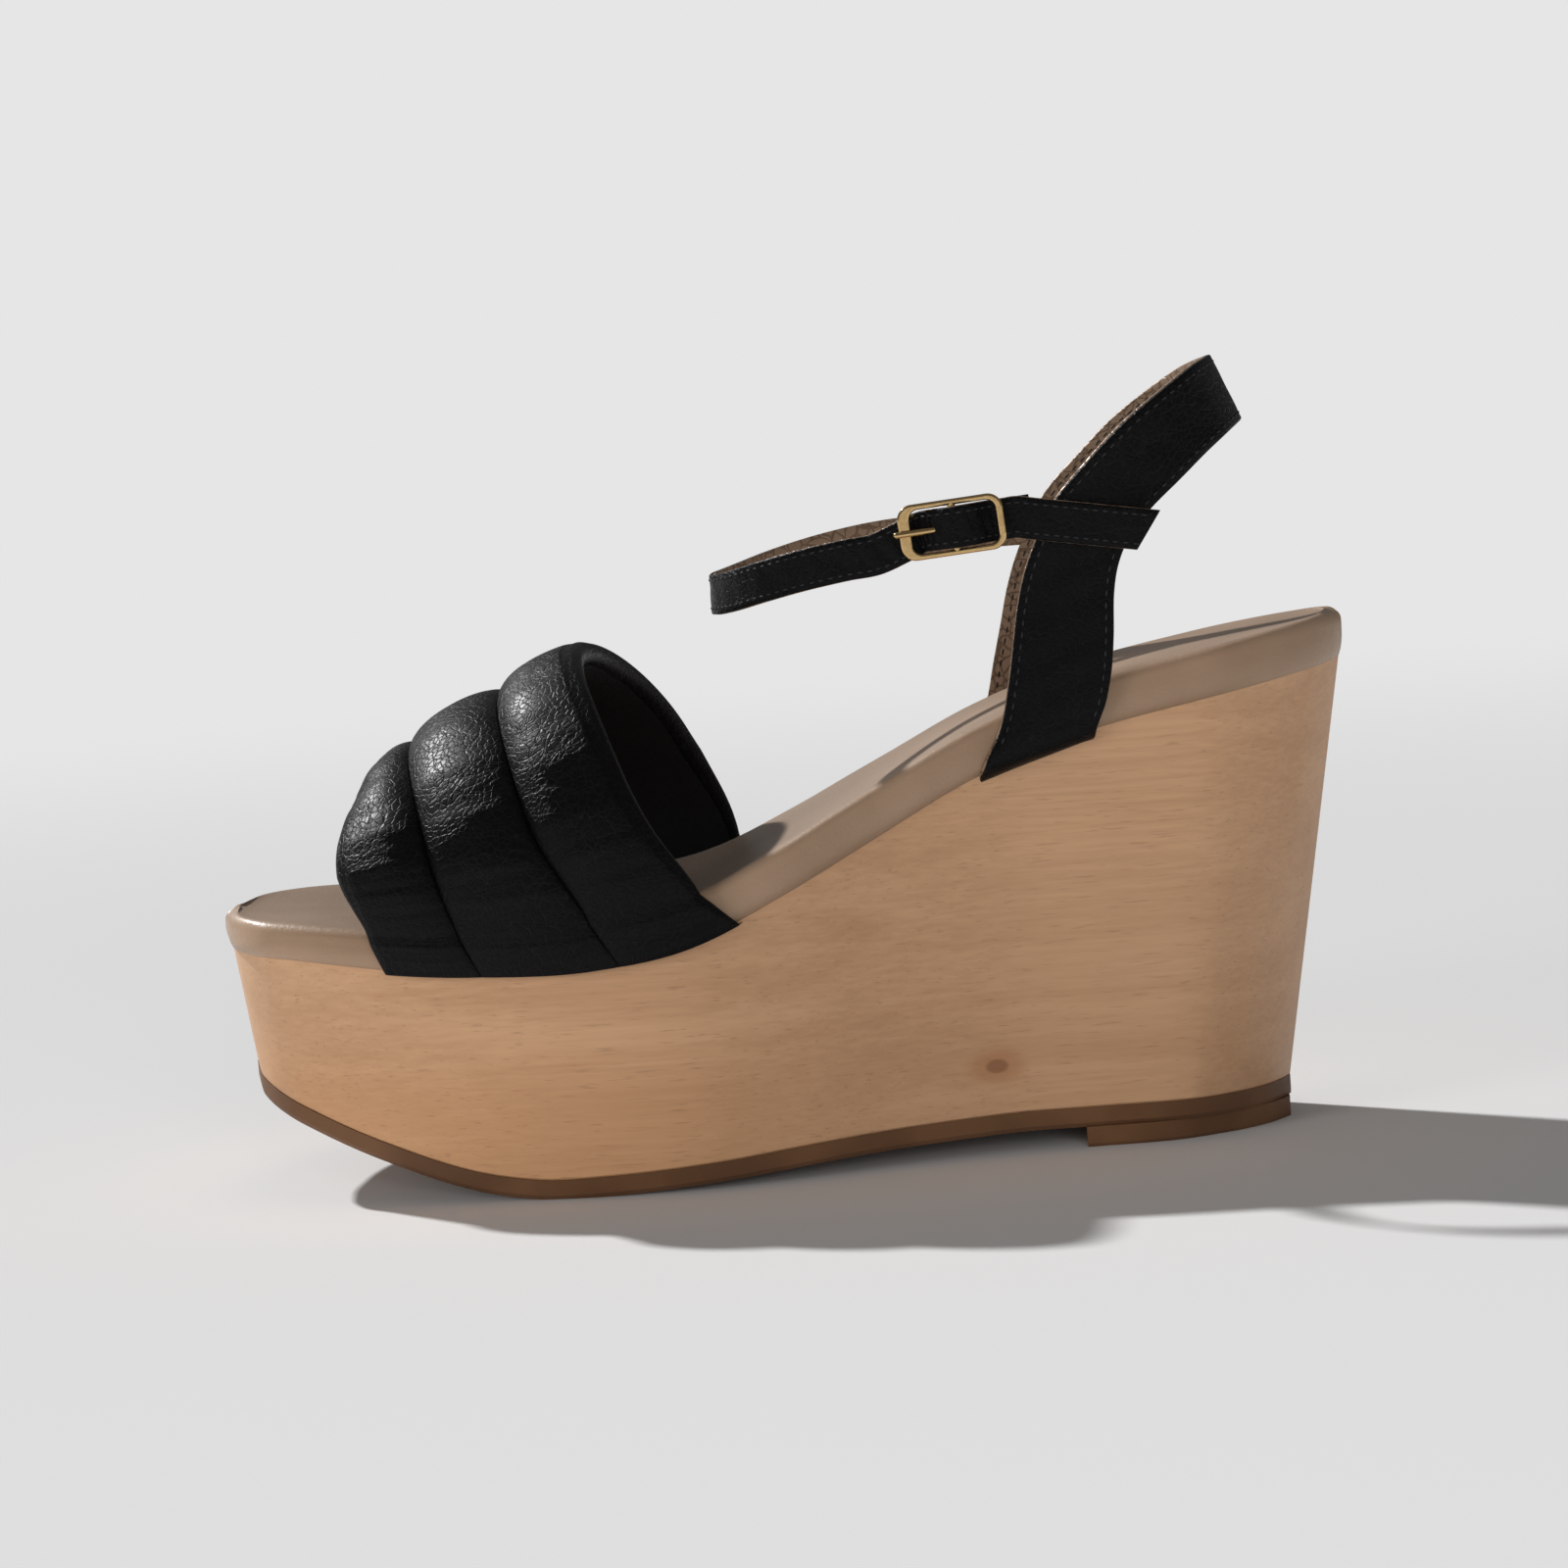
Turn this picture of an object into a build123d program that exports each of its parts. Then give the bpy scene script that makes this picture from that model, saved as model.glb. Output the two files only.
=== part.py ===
from build123d import *
import math
import os

# A left-foot wedge sandal, in millimetres. +Z is up, the toe points along -X, the outer side of the
# foot is -Y. The origin is on the ground, under the middle of the shoe.

# --- overall sizes -------------------------------------------------------------------------------
FOOTBED_LENGTH = 230.0
OUTER_BREADTH = 45.0        # from the centre plane to the outer side at the ball
INNER_BREADTH = 46.0        # from the centre plane to the inner side at the ball
PLATFORM_HEIGHT = 45.7      # top of the wood under the ball of the foot
HEEL_HEIGHT = 92.9          # top of the wood at the back of the heel

# --- sole ------------------------------------------------------------------------------------------
OUTSOLE_THICKNESS = 4.0
TOE_SPRING = 22.5           # height of the outsole's lower face at the toe tip
ARCH_LIFT = 4.1             # height of the outsole's lower face from the arch back to the heel
HEEL_LIFT_LENGTH = 58.0     # from the footbed's back edge forward to the lift's straight front face
BALL_FLAT_FRONT = 64.0      # from the toe tip to where the outsole first meets the ground
BALL_FLAT_LENGTH = 11.0
FLAT_PRESS = 0.15           # how much of the sole's curve is pressed flat there
WOOD_REVEAL = 0.9           # how far the wood's top edge sits inside the footbed's edge
SIDE_DRAFT = 0.03           # inward slope of the wood's sides, going down
HEEL_RAKE = 15.0            # how far the wood's lower edge stops short of its upper edge, at the heel
HEEL_RAKE_REACH = 80.0      # the length over which that fades out
TOE_RAKE = 3.2
TOE_RAKE_REACH = 60.0

# --- footbed ---------------------------------------------------------------------------------------
FOOTBED_TOE_THICKNESS = 6.8
FOOTBED_HEEL_THICKNESS = 9.6
COVER_THICKNESS = 1.2
COVER_LIP = 9.0             # leather turned under the board
COVER_LIP_THICKNESS = 0.8
COVER_EDGE_RADIUS = 2.6
BOARD_THICKNESS = 1.6
FOAM_CLEARANCE = 0.1

# --- leather and its fixing --------------------------------------------------------------------------
STRAP_CLEARANCE = 0.15      # between a strap and the footbed's side
LAYER_GAP = 0.05            # glue line between two layers of leather
STRAP_TAB = 13.0            # strap end tucked between wood and footbed

# --- toe strap: lines that run over the foot, as distances back from the toe tip -----------------------
# front edge, first seam, second seam and rear edge, each at seven places: below the outer seam, at the
# footbed's outer edge, outer flank, top of the foot, inner flank, footbed's inner edge, below the inner seam
TOE_STRAP_LINES = (
    (44.5, 35.3, 31.0, 33.5, 33.0, 37.0, 41.0),
    (62.0, 52.5, 47.5, 43.0, 50.0, 54.0, 57.0),
    (90.0, 78.5, 67.5, 61.5, 72.0, 78.0, 81.0),
    (122.0, 99.5, 85.5, 77.0, 91.0, 101.5, 106.0),
)
TOE_STRAP_RISE = (21.5, 30.0, 39.8, 47.3)   # lining's height over the footbed's edge, on the same four lines
TOE_LINING_THICKNESS = 0.8
TOE_LEATHER_THICKNESS = 1.2
CHANNEL_CROWN = 5.3         # depth of the padding in the middle of a channel
CHANNEL_PINCH = 0.9         # depth left where a seam pulls the leather down
TOE_TAB_FRONT = 41.0        # from the toe tip to the tucked ends
TOE_TAB_REAR = 103.0

# --- back strap: pairs of edge points on the outer half, heel-edge then toe-edge, as (distance forward
# --- of the footbed's back edge, height above the wood at the heel) ------------------------------------
BACK_STRAP_EDGES = (
    ((53.5, -30.0), (75.5, -30.0)),
    ((52.2, -11.5), (74.5, -15.9)),
    ((49.0, -4.4), (69.8, -7.2)),
    ((47.5, 2.1), (67.7, 1.1)),
    ((46.6, 9.1), (66.3, 8.6)),
    ((46.0, 17.1), (64.7, 17.1)),
    ((44.7, 23.1), (62.2, 25.1)),
    ((42.0, 28.6), (57.0, 35.5)),
    ((37.8, 33.4), (50.0, 43.2)),
    ((32.0, 38.4), (42.5, 50.2)),
    ((26.6, 43.0), (34.8, 55.8)),
    ((22.0, 46.4), (28.4, 59.9)),
)
BACK_STRAP_BACK = ((19.0, 48.2), (24.6, 61.5))   # the same pair at the very back
BACK_CURVE_START = 55.0     # where the band starts to curve in behind the heel
HEEL_CENTRE_Y = 3.7         # the heel's own centre plane, inward of the ball's
BACK_STRAP_HALF = 28.4      # from that plane to the lining
BACK_LINING_THICKNESS = 0.6
STAY_THICKNESS = 0.3
BACK_LEATHER_THICKNESS = 0.9
BACK_TAB_FRONT = 74.0       # from the footbed's back edge to the tucked ends
BACK_TAB_REAR = 54.0
TAIL_CLEARANCE = 0.4        # between the strap's free end and the back strap

# --- ankle strap -------------------------------------------------------------------------------------
ANKLE_STRAP_WIDTH = 8.0
ANKLE_LEATHER_THICKNESS = 0.8
ANKLE_LINING_THICKNESS = 0.55
ANKLE_LOOP_LENGTH = 50.0    # from the buckle's bar forward to the front of the loop
ANKLE_LOOP_CURVE = 36.2     # length of the rounded front part of the loop
ANKLE_LOOP_DROP = (         # how far the loop lies below the bar, by distance forward of it
    (-14.0, 3.4), (-4.0, 3.5), (6.0, 3.9), (13.8, 4.3), (21.8, 5.2), (31.4, 6.9), (40.8, 9.2),
    (46.3, 10.8), (50.0, 11.6), (53.0, 12.2),
)
STRAP_END_FORWARD = 61.0    # from the footbed's back edge to where the ankle strap joins the back strap
TAIL_LENGTH = 27.0
TAIL_SLANT = 3.6            # how far the tail's lower corner stops short of its upper one
TAIL_DROP = 4.6             # how far the tail falls towards its end
STRAP_END_SLANT = 3.4       # how far the strap's inner end is cut back at its lower corner
BEND_GAP = 0.3

# --- buckle ------------------------------------------------------------------------------------------
BUCKLE_BAR_FORWARD = 76.2   # from the footbed's back edge to the centre bar
BUCKLE_BAR_HEIGHT = 125.6
BUCKLE_TILT = 4.5           # degrees, rising towards the heel
BUCKLE_SWING = 3.0          # degrees the frame can rock about its bar
BUCKLE_LENGTH = 20.8
BUCKLE_CLEARANCE = 0.35     # above and below the strap inside the frame
FRAME_THICKNESS = 1.6
TOP_BAR = 1.15
FRONT_BAR = 2.4
REAR_BAR = 1.5
FRAME_CORNER = 3.0
BAR_RADIUS = 0.8
TAB_CLEARANCE = 0.1
TAB_THICKNESS = 0.7
PRONG_CLEARANCE = 0.05
PRONG_RADIUS = 0.62
PRONG_EYE_WALL = 0.65
PRONG_REST_GAP = 0.08
PRONG_SLOT = 2.1
PRONG_WIDTH = 1.6

# --- worked-out values -------------------------------------------------------------------------------
TOE_X = -FOOTBED_LENGTH / 2
HEEL_X = FOOTBED_LENGTH / 2
SKY_CUT = HEEL_HEIGHT + 60.0
MARGIN = 15.0               # how far trimming solids reach past the shoe
END_REACH = 0.07            # share of the length over which the ends follow an inset

# the footbed in plan: share of its length from the toe tip, share of the outer and inner breadth
OUTLINE = (
    (0.0, 0.10, 0.08), (0.013, 0.36, 0.37), (0.04, 0.57, 0.60), (0.07, 0.67, 0.74), (0.13, 0.795, 0.90),
    (0.22, 0.91, 0.985), (0.33, 0.995, 0.975), (0.42, 0.99, 0.905), (0.51, 0.87, 0.815),
    (0.60, 0.70, 0.735), (0.70, 0.57, 0.705), (0.80, 0.535, 0.71), (0.885, 0.50, 0.68),
    (0.935, 0.385, 0.585), (0.97, 0.235, 0.45), (0.99, 0.09, 0.31), (1.0, -0.02, 0.18),
)
# top of the wood: share of the length, share of the climb from platform to heel
SEAM = (
    (-0.07, 0.13), (0.0, 0.102), (0.08, 0.07), (0.17, 0.02), (0.26, -0.003), (0.34, 0.003),
    (0.42, 0.065), (0.50, 0.225), (0.585, 0.43), (0.67, 0.635), (0.76, 0.785), (0.87, 0.895),
    (1.0, 1.0), (1.07, 1.05),
)
# stations along the foot where the sole and the footbed are sectioned
SHARES = tuple(sorted({
    0.0, 0.004, 0.013, 0.035, 0.07, 0.12, 0.18, 0.23,
    BALL_FLAT_FRONT / FOOTBED_LENGTH, (BALL_FLAT_FRONT + BALL_FLAT_LENGTH) / FOOTBED_LENGTH,
    0.37, 0.42, 0.48, 0.54, 0.60, 0.66, 0.72, 0.78, 0.84, 0.89, 0.93, 0.96, 0.983, 0.995, 1.0,
}))


def along(share):
    """X at a share of the footbed's length from the toe tip."""
    return TOE_X + share * FOOTBED_LENGTH


class Graph:
    """A smooth curve through a few points, read as a function of the first coordinate."""

    def __init__(self, points):
        self.points = points

    def slope(self, k):
        here = self.points[k]
        low = self.points[max(k - 1, 0)]
        high = self.points[min(k + 1, len(self.points) - 1)]
        if (high[1] - here[1]) * (here[1] - low[1]) <= 0 and 0 < k < len(self.points) - 1:
            return 0.0
        return (high[1] - low[1]) / (high[0] - low[0])

    def at(self, x):
        k = 0
        while k < len(self.points) - 2 and self.points[k + 1][0] <= x:
            k += 1
        (x0, y0), (x1, y1) = self.points[k], self.points[k + 1]
        wide = x1 - x0
        t = min(max((x - x0) / wide, 0.0), 1.0)
        rise = y1 - y0
        m0 = self.slope(k) * wide
        m1 = self.slope(k + 1) * wide
        return y0 + m0 * t + (3 * rise - 2 * m0 - m1) * t ** 2 + (m0 + m1 - 2 * rise) * t ** 3


class Polyline:
    """The straight line pieces that join readings of a graph at the stations."""

    def __init__(self, graph, spots):
        self.spots = spots
        self.heights = [graph.at(x) for x in spots]

    def at(self, x):
        k = 0
        while k < len(self.spots) - 2 and self.spots[k + 1] <= x:
            k += 1
        share = (x - self.spots[k]) / (self.spots[k + 1] - self.spots[k])
        return self.heights[k] + (self.heights[k + 1] - self.heights[k]) * share


seam = Polyline(
    Graph([(along(s), PLATFORM_HEIGHT + c * (HEEL_HEIGHT - PLATFORM_HEIGHT)) for s, c in SEAM]),
    [along(s) for s in SHARES],
)
outer_side = Graph([(along(s), -o * OUTER_BREADTH) for s, o, i in OUTLINE])
inner_side = Graph([(along(s), i * INNER_BREADTH) for s, o, i in OUTLINE])
FLAT_X = TOE_X + BALL_FLAT_FRONT
sole_low = Graph([
    (TOE_X - MARGIN, TOE_SPRING * 1.5), (TOE_X + 4.0, TOE_SPRING * 0.96), (TOE_X + 18.0, TOE_SPRING * 0.655),
    (TOE_X + 32.0, TOE_SPRING * 0.385), (TOE_X + 50.0, TOE_SPRING * 0.105), (FLAT_X, -FLAT_PRESS),
    (FLAT_X + BALL_FLAT_LENGTH, -FLAT_PRESS), (FLAT_X + BALL_FLAT_LENGTH + 22.0, ARCH_LIFT * 0.30),
    (FLAT_X + BALL_FLAT_LENGTH + 50.0, ARCH_LIFT * 0.78), (FLAT_X + BALL_FLAT_LENGTH + 80.0, ARCH_LIFT),
    (HEEL_X - HEEL_LIFT_LENGTH, ARCH_LIFT), (HEEL_X + MARGIN, ARCH_LIFT),
])


def bed_thickness(x):
    share = min(max((x - TOE_X) / (0.55 * FOOTBED_LENGTH), 0.0), 1.0)
    return FOOTBED_TOE_THICKNESS + (FOOTBED_HEEL_THICKNESS - FOOTBED_TOE_THICKNESS) * share


def bed_top(x):
    return seam.at(x) + bed_thickness(x)


def wood_bottom_x(x):
    """The wood's lower outline is shorter than its upper one: rounded toe and raked heel."""
    toe = max(1.0 - (x - TOE_X) / TOE_RAKE_REACH, 0.0)
    heel = max(1.0 - (HEEL_X - x) / HEEL_RAKE_REACH, 0.0)
    return x + TOE_RAKE * toe - HEEL_RAKE * heel


def station_x(share, inset):
    """X of a station when the outline is drawn in by inset; only the ends of the foot move."""
    shift = inset * max(1 - min(share, 1 - share) / END_REACH, 0.0)
    return along(share) + (shift if share < 0.5 else -shift)


def polygon_loft(sections):
    """Solid through closed sections with straight edges; the first and last are flat."""
    return Solid.make_loft([Wire.make_polygon(points, close=True) for points in sections], ruled=True)


def cross_section(x_top, top, x_low, low, outer, inner):
    return [(x_low, outer, low), (x_low, inner, low), (x_top, inner, top), (x_top, outer, top)]


# --- sole --------------------------------------------------------------------------------------------------
def sole_station(share):
    """Upper X, lower X and the wood's two sides at the top of one station."""
    x = along(share)
    top_x = station_x(share, WOOD_REVEAL)
    return top_x, wood_bottom_x(top_x), outer_side.at(x), inner_side.at(x)


def make_wood():
    sections = []
    for share in SHARES:
        x, low_x, outer, inner = sole_station(share)
        low = sole_low.at(low_x) + OUTSOLE_THICKNESS
        top = seam.at(x)
        draw_in = SIDE_DRAFT * (top - low)
        middle = (outer + inner) / 2
        half = (inner - outer) / 2 - WOOD_REVEAL
        half_low = half * (1 - 2 * draw_in / (OUTER_BREADTH + INNER_BREADTH))
        sections.append([
            (low_x, middle - half_low, low), (low_x, middle + half_low, low),
            (x, middle + half, top), (x, middle - half, top),
        ])
    return polygon_loft(sections)


def under_station(share):
    """The sole's lower outline at one station: X, outer Y and inner Y."""
    x, low_x, outer, inner = sole_station(share)
    low = sole_low.at(low_x) + OUTSOLE_THICKNESS
    draw_in = SIDE_DRAFT * (seam.at(x) - low)
    middle = (outer + inner) / 2
    half = (inner - outer) / 2 - WOOD_REVEAL
    half = half * (1 - 2 * draw_in / (OUTER_BREADTH + INNER_BREADTH))
    return low_x, middle - half, middle + half


def make_outsole():
    sections = []
    for share in SHARES:
        x, outer, inner = under_station(share)
        low = sole_low.at(x)
        sections.append(cross_section(x, low + OUTSOLE_THICKNESS, x, low, outer, inner))
    ground = Pos(0, 0, -MARGIN) * Box(2 * FOOTBED_LENGTH, 2 * FOOTBED_LENGTH, 2 * MARGIN)
    return polygon_loft(sections) - ground


def make_heel_lift():
    front = HEEL_X - HEEL_LIFT_LENGTH
    stations = [under_station(share) for share in SHARES]
    behind = [station for station in stations if station[0] > front + 2.0]
    first = behind[0]
    before = [station for station in stations if station[0] <= front + 2.0][-1]
    share = (front - before[0]) / (first[0] - before[0])
    edge = tuple(p + (q - p) * share for p, q in zip(before, first))
    rim = [edge] + behind
    points = [(x, outer, 0) for x, outer, inner in rim] + [(x, inner, 0) for x, outer, inner in rim[::-1]]
    return Solid.extrude(Face(Wire.make_polygon(points, close=True)), Vector(0, 0, ARCH_LIFT))


# --- footbed -----------------------------------------------------------------------------------------------
def bed_sections(inset, low, top_inset, rounded):
    """Sections of the footbed drawn in by inset, from low above the wood to top_inset under its top."""
    sections = []
    for share in SHARES:
        x = station_x(share, inset)
        half = (inner_side.at(along(share)) - outer_side.at(along(share))) / 2
        middle = (inner_side.at(along(share)) + outer_side.at(along(share))) / 2
        half = max(half - inset, 0.6)
        bottom = seam.at(x) + low
        top = bed_top(x) - top_inset
        r = min(rounded, 0.6 * half)
        sections.append([
            (x, middle - half, bottom), (x, middle + half, bottom), (x, middle + half, top - r),
            (x, middle + half - 0.3 * r, top - 0.3 * r), (x, middle + half - r, top),
            (x, middle - half + r, top), (x, middle - half + 0.3 * r, top - 0.3 * r),
            (x, middle - half, top - r),
        ])
    return sections


def make_footbed():
    board_low = COVER_LIP_THICKNESS
    board_high = board_low + BOARD_THICKNESS
    inside = COVER_THICKNESS + FOAM_CLEARANCE
    skin = polygon_loft(bed_sections(0.0, 0.0, 0.0, COVER_EDGE_RADIUS))
    hollow = polygon_loft(bed_sections(COVER_THICKNESS, board_low, COVER_THICKNESS, COVER_EDGE_RADIUS / 2))
    mouth = polygon_loft(bed_sections(COVER_LIP, -2.0, COVER_THICKNESS + 2.0, 0.5))
    cover = skin - hollow - mouth
    board = polygon_loft([
        cross_section(p[0][0], p[0][2] + BOARD_THICKNESS, p[0][0], p[0][2], p[0][1], p[1][1])
        for p in bed_sections(inside, board_low + LAYER_GAP, 0.0, 0.1)
    ])
    foam = polygon_loft(bed_sections(inside, board_high + 2 * LAYER_GAP, inside, COVER_EDGE_RADIUS / 2))
    return cover, board, foam


# --- strap ends under the footbed --------------------------------------------------------------------------
def side_prism(x0, x1, high, low):
    """Solid right across the shoe, between two heights above the wood's top."""
    spots = sorted({x0, x1, *[along(s) for s in SHARES if x0 < along(s) < x1]})
    points = [(x, 0, seam.at(x) + low) for x in spots] + [(x, 0, seam.at(x) + high) for x in spots[::-1]]
    face = Face(Wire.make_polygon(points, close=True))
    wide = OUTER_BREADTH + INNER_BREADTH + 2 * MARGIN
    toward = 1 if face.normal_at().Y > 0 else -1
    return Solid.extrude(face, Vector(0, toward * wide, 0)).moved(Location((0, -toward * wide / 2, 0)))


def tucked(x0, x1, side, reach, top, bottom):
    """Flat strap end lying on the wood, from STRAP_TAB inside the footbed's edge to reach outside it."""
    spots = sorted({x0, x1, *[along(s) for s in SHARES if x0 < along(s) < x1]})
    edge = outer_side if side < 0 else inner_side
    inside = [(x, edge.at(x) - side * STRAP_TAB, 0) for x in spots]
    outside = [(x, edge.at(x) + side * reach, 0) for x in spots[::-1]]
    face = Face(Wire.make_polygon(inside + outside, close=True))
    toward = 1 if face.normal_at().Z > 0 else -1
    upright = Solid.extrude(face, Vector(0, 0, toward * SKY_CUT))
    return side_prism(x0, x1, top, bottom) & upright


# --- toe strap ---------------------------------------------------------------------------------------------
STATIONS = (-1.0, -0.5, 0.0, 0.4, 0.8, 1.1, 1.4, 1.7, 2.0, 2.3, 2.6, 2.9, 3.2, 3.6, 4.0, 4.5, 5.0)
LINE_GRAPHS = [
    Graph([(k - 1, TOE_X + d) for k, d in enumerate(line)])
    for line in TOE_STRAP_LINES
]


def blend(values, v):
    """Straight interpolation along the four strap lines, a little past their ends too."""
    k = min(max(int(math.floor(v)), 0), 2)
    return values[k] + (values[k + 1] - values[k]) * (v - k)


def arch_base(a, v):
    """Point of the toe strap's lining: a runs over the foot from -1 to 5, v from front 0 to rear 3."""
    x = blend([g.at(min(max(a, -1), 5)) for g in LINE_GRAPHS], v)
    if a <= 0 or a >= 4:
        down = -a if a <= 0 else a - 4
        turn = 0.0 if a <= 0 else 180.0
    else:
        down = 0.0
        turn = a * 30 if a < 1 else (30 + (a - 1) * 60 if a < 3 else 150 + (a - 3) * 30)
    c = math.cos(math.radians(turn))
    h = math.sin(math.radians(turn)) ** 0.87
    w = abs(c) ** 0.87
    breadth = -outer_side.at(x) if c > 0 else -inner_side.at(x)
    clear = STRAP_CLEARANCE if c > 0 else -STRAP_CLEARANCE
    edge = bed_top(x)
    floor = PLATFORM_HEIGHT - 6.0
    z = edge + h * blend(TOE_STRAP_RISE, v) - down * (edge - floor)
    return Vector(x, -(breadth + clear) * w, z)


def arch_point(a, v, lift):
    e = 0.04
    low = max(a - e, -1.0)
    high = min(a + e, 5.0)
    across = arch_base(high, v) - arch_base(low, v)
    back = arch_base(a, v + e) - arch_base(a, v - e)
    outward = across.cross(back).normalized()
    if a <= 0 or a >= 4:
        outward = Vector(outward.X, outward.Y, 0).normalized()
    if outward.dot(Vector(0, arch_base(a, v).Y, 30)) < 0:
        outward = outward * -1
    return arch_base(a, v) + outward * lift


def puff(a):
    """Padding is thinner where the strap goes down past the footbed's edge."""
    return 0.45 + 0.55 * min(max(min(a, 4 - a) / 0.8, 0.0), 1.0)


def crown(f):
    """Height share of a padded channel's crown at a share of its width."""
    return math.sin(math.pi * f) ** 0.6


def channel_points(a, k, low, pinch, crest, inset=0.0):
    """Crowned line over channel k at station a; pinch and crest are its depths over low."""
    points = []
    for f in (0.0, 0.1, 0.3, 0.5, 0.7, 0.9, 1.0):
        depth = pinch + (crest - pinch) * crown(f)
        points.append(arch_point(a, k + inset + f * (1 - 2 * inset), low + depth * puff(a)))
    return points


def lining_section(a):
    spots = [3 * i / 12 for i in range(13)]
    lower = [arch_point(a, v, 0.0) for v in spots]
    upper = [arch_point(a, v, TOE_LINING_THICKNESS) for v in spots]
    return lower + upper[::-1]


def padding_section(a, k):
    low = TOE_LINING_THICKNESS + LAYER_GAP
    crest = CHANNEL_CROWN - LAYER_GAP
    inset = 0.08
    top = channel_points(a, k, low, 0.3, crest, inset)
    flat = [arch_point(a, k + inset + (1 - 2 * inset) * i / 3, low) for i in range(4)]
    return flat + top[::-1]


def leather_section(a):
    low = TOE_LINING_THICKNESS + LAYER_GAP
    inner = []
    outer = []
    for k in range(3):
        start = 1 if k else 0
        inner += channel_points(a, k, low, CHANNEL_PINCH, CHANNEL_CROWN + LAYER_GAP)[start:]
        outer += channel_points(
            a, k, low + TOE_LEATHER_THICKNESS, CHANNEL_PINCH, CHANNEL_CROWN + LAYER_GAP
        )[start:]
    return inner + outer[::-1]


def trim_below(solid, depth):
    """Cut a strap off at a depth under the wood's top."""
    span = (TOE_X - MARGIN, HEEL_X + MARGIN)
    return solid - side_prism(*span, -depth, -HEEL_HEIGHT)


def make_toe_strap():
    lining = polygon_loft([lining_section(a) for a in STATIONS])
    cover = polygon_loft([leather_section(a) for a in STATIONS])
    rolls = [polygon_loft([padding_section(a, k) for a in STATIONS]) for k in range(3)]
    leather_top = -TOE_LINING_THICKNESS - LAYER_GAP
    leather_low = leather_top - TOE_LEATHER_THICKNESS
    lining = trim_below(lining, TOE_LINING_THICKNESS)
    cover = trim_below(cover, -leather_low)
    rolls = [trim_below(roll, -0.6) for roll in rolls]
    x0 = TOE_X + TOE_TAB_FRONT
    x1 = TOE_X + TOE_TAB_REAR
    reach = STRAP_CLEARANCE + TOE_LINING_THICKNESS
    far_reach = reach + LAYER_GAP + TOE_LEATHER_THICKNESS + CHANNEL_PINCH / 2
    for side in (-1, 1):
        lining = lining + tucked(x0, x1, side, reach, 0.0, -TOE_LINING_THICKNESS)
        cover = cover + tucked(x0, x1, side, far_reach, leather_top, leather_low)
    return lining, cover, rolls


# --- back strap --------------------------------------------------------------------------------------------
def back_half_width(x, at_back):
    """Half width of the band from the heel's centre plane to the lining."""
    start = HEEL_X - BACK_CURVE_START
    share = min(max((x - start) / (at_back - start), 0.0), 1.0)
    return BACK_STRAP_HALF * math.sqrt(1 - share ** 2)


def back_corner(pair, k, side):
    """Lining's edge point: k is 0 for the heel edge and 1 for the toe edge."""
    forward, climb = pair[k]
    x = HEEL_X - forward
    z = HEEL_HEIGHT + climb
    at_back = HEEL_X - BACK_STRAP_BACK[k][0]
    y = back_half_width(x, at_back)
    rest = (-outer_side.at(x) + HEEL_CENTRE_Y) if side < 0 else (inner_side.at(x) - HEEL_CENTRE_Y)
    rest = rest + STRAP_CLEARANCE
    free = min(max((z - bed_top(x)) / 25.0, 0.0), 1.0)
    free = free * free * (3 - 2 * free)
    return Vector(x, HEEL_CENTRE_Y + side * (rest + (y - rest) * free), z)


def back_strap_pairs():
    near = [(back_corner(p, 0, -1), back_corner(p, 1, -1)) for p in BACK_STRAP_EDGES]
    far = [(back_corner(p, 0, 1), back_corner(p, 1, 1)) for p in BACK_STRAP_EDGES]
    back = tuple(Vector(HEEL_X - f, HEEL_CENTRE_Y, HEEL_HEIGHT + c) for f, c in BACK_STRAP_BACK)
    return near + [back] + far[::-1]


def band(pairs, inner, outer):
    """Strip of leather through pairs of edge points, between two distances outside them."""
    middles = [(a + b) / 2 for a, b in pairs]
    sections = []
    for i, (a, b) in enumerate(pairs):
        run = middles[min(i + 1, len(pairs) - 1)] - middles[max(i - 1, 0)]
        outward = run.cross(b - a).normalized()
        corners = [a + outward * inner, b + outward * inner, b + outward * outer, a + outward * outer]
        sections.append(Wire.make_polygon(corners, close=True))
    return Solid.make_loft(sections, ruled=True)


def make_back_strap():
    pairs = back_strap_pairs()
    stay_low = BACK_LINING_THICKNESS + LAYER_GAP
    leather_low = stay_low + STAY_THICKNESS + LAYER_GAP
    leather_high = leather_low + BACK_LEATHER_THICKNESS
    narrow = [(a + (b - a) * 0.1, b - (b - a) * 0.1) for a, b in pairs]
    lining = trim_below(band(pairs, 0.0, BACK_LINING_THICKNESS), BACK_LINING_THICKNESS)
    stay = trim_below(band(narrow, stay_low, stay_low + STAY_THICKNESS), 0.0)
    tab_top = -BACK_LINING_THICKNESS - LAYER_GAP
    tab_low = tab_top - BACK_LEATHER_THICKNESS
    leather = trim_below(band(pairs, leather_low, leather_high), -tab_low)
    x0 = HEEL_X - BACK_TAB_FRONT
    x1 = HEEL_X - BACK_TAB_REAR
    for side in (-1, 1):
        reach = STRAP_CLEARANCE + BACK_LINING_THICKNESS
        lining = lining + tucked(x0, x1, side, reach - 0.1, 0.0, -BACK_LINING_THICKNESS)
        leather = leather + tucked(x0, x1, side, STRAP_CLEARANCE + leather_high - 0.1, tab_top, tab_low)
    return lining, stay, leather


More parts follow.
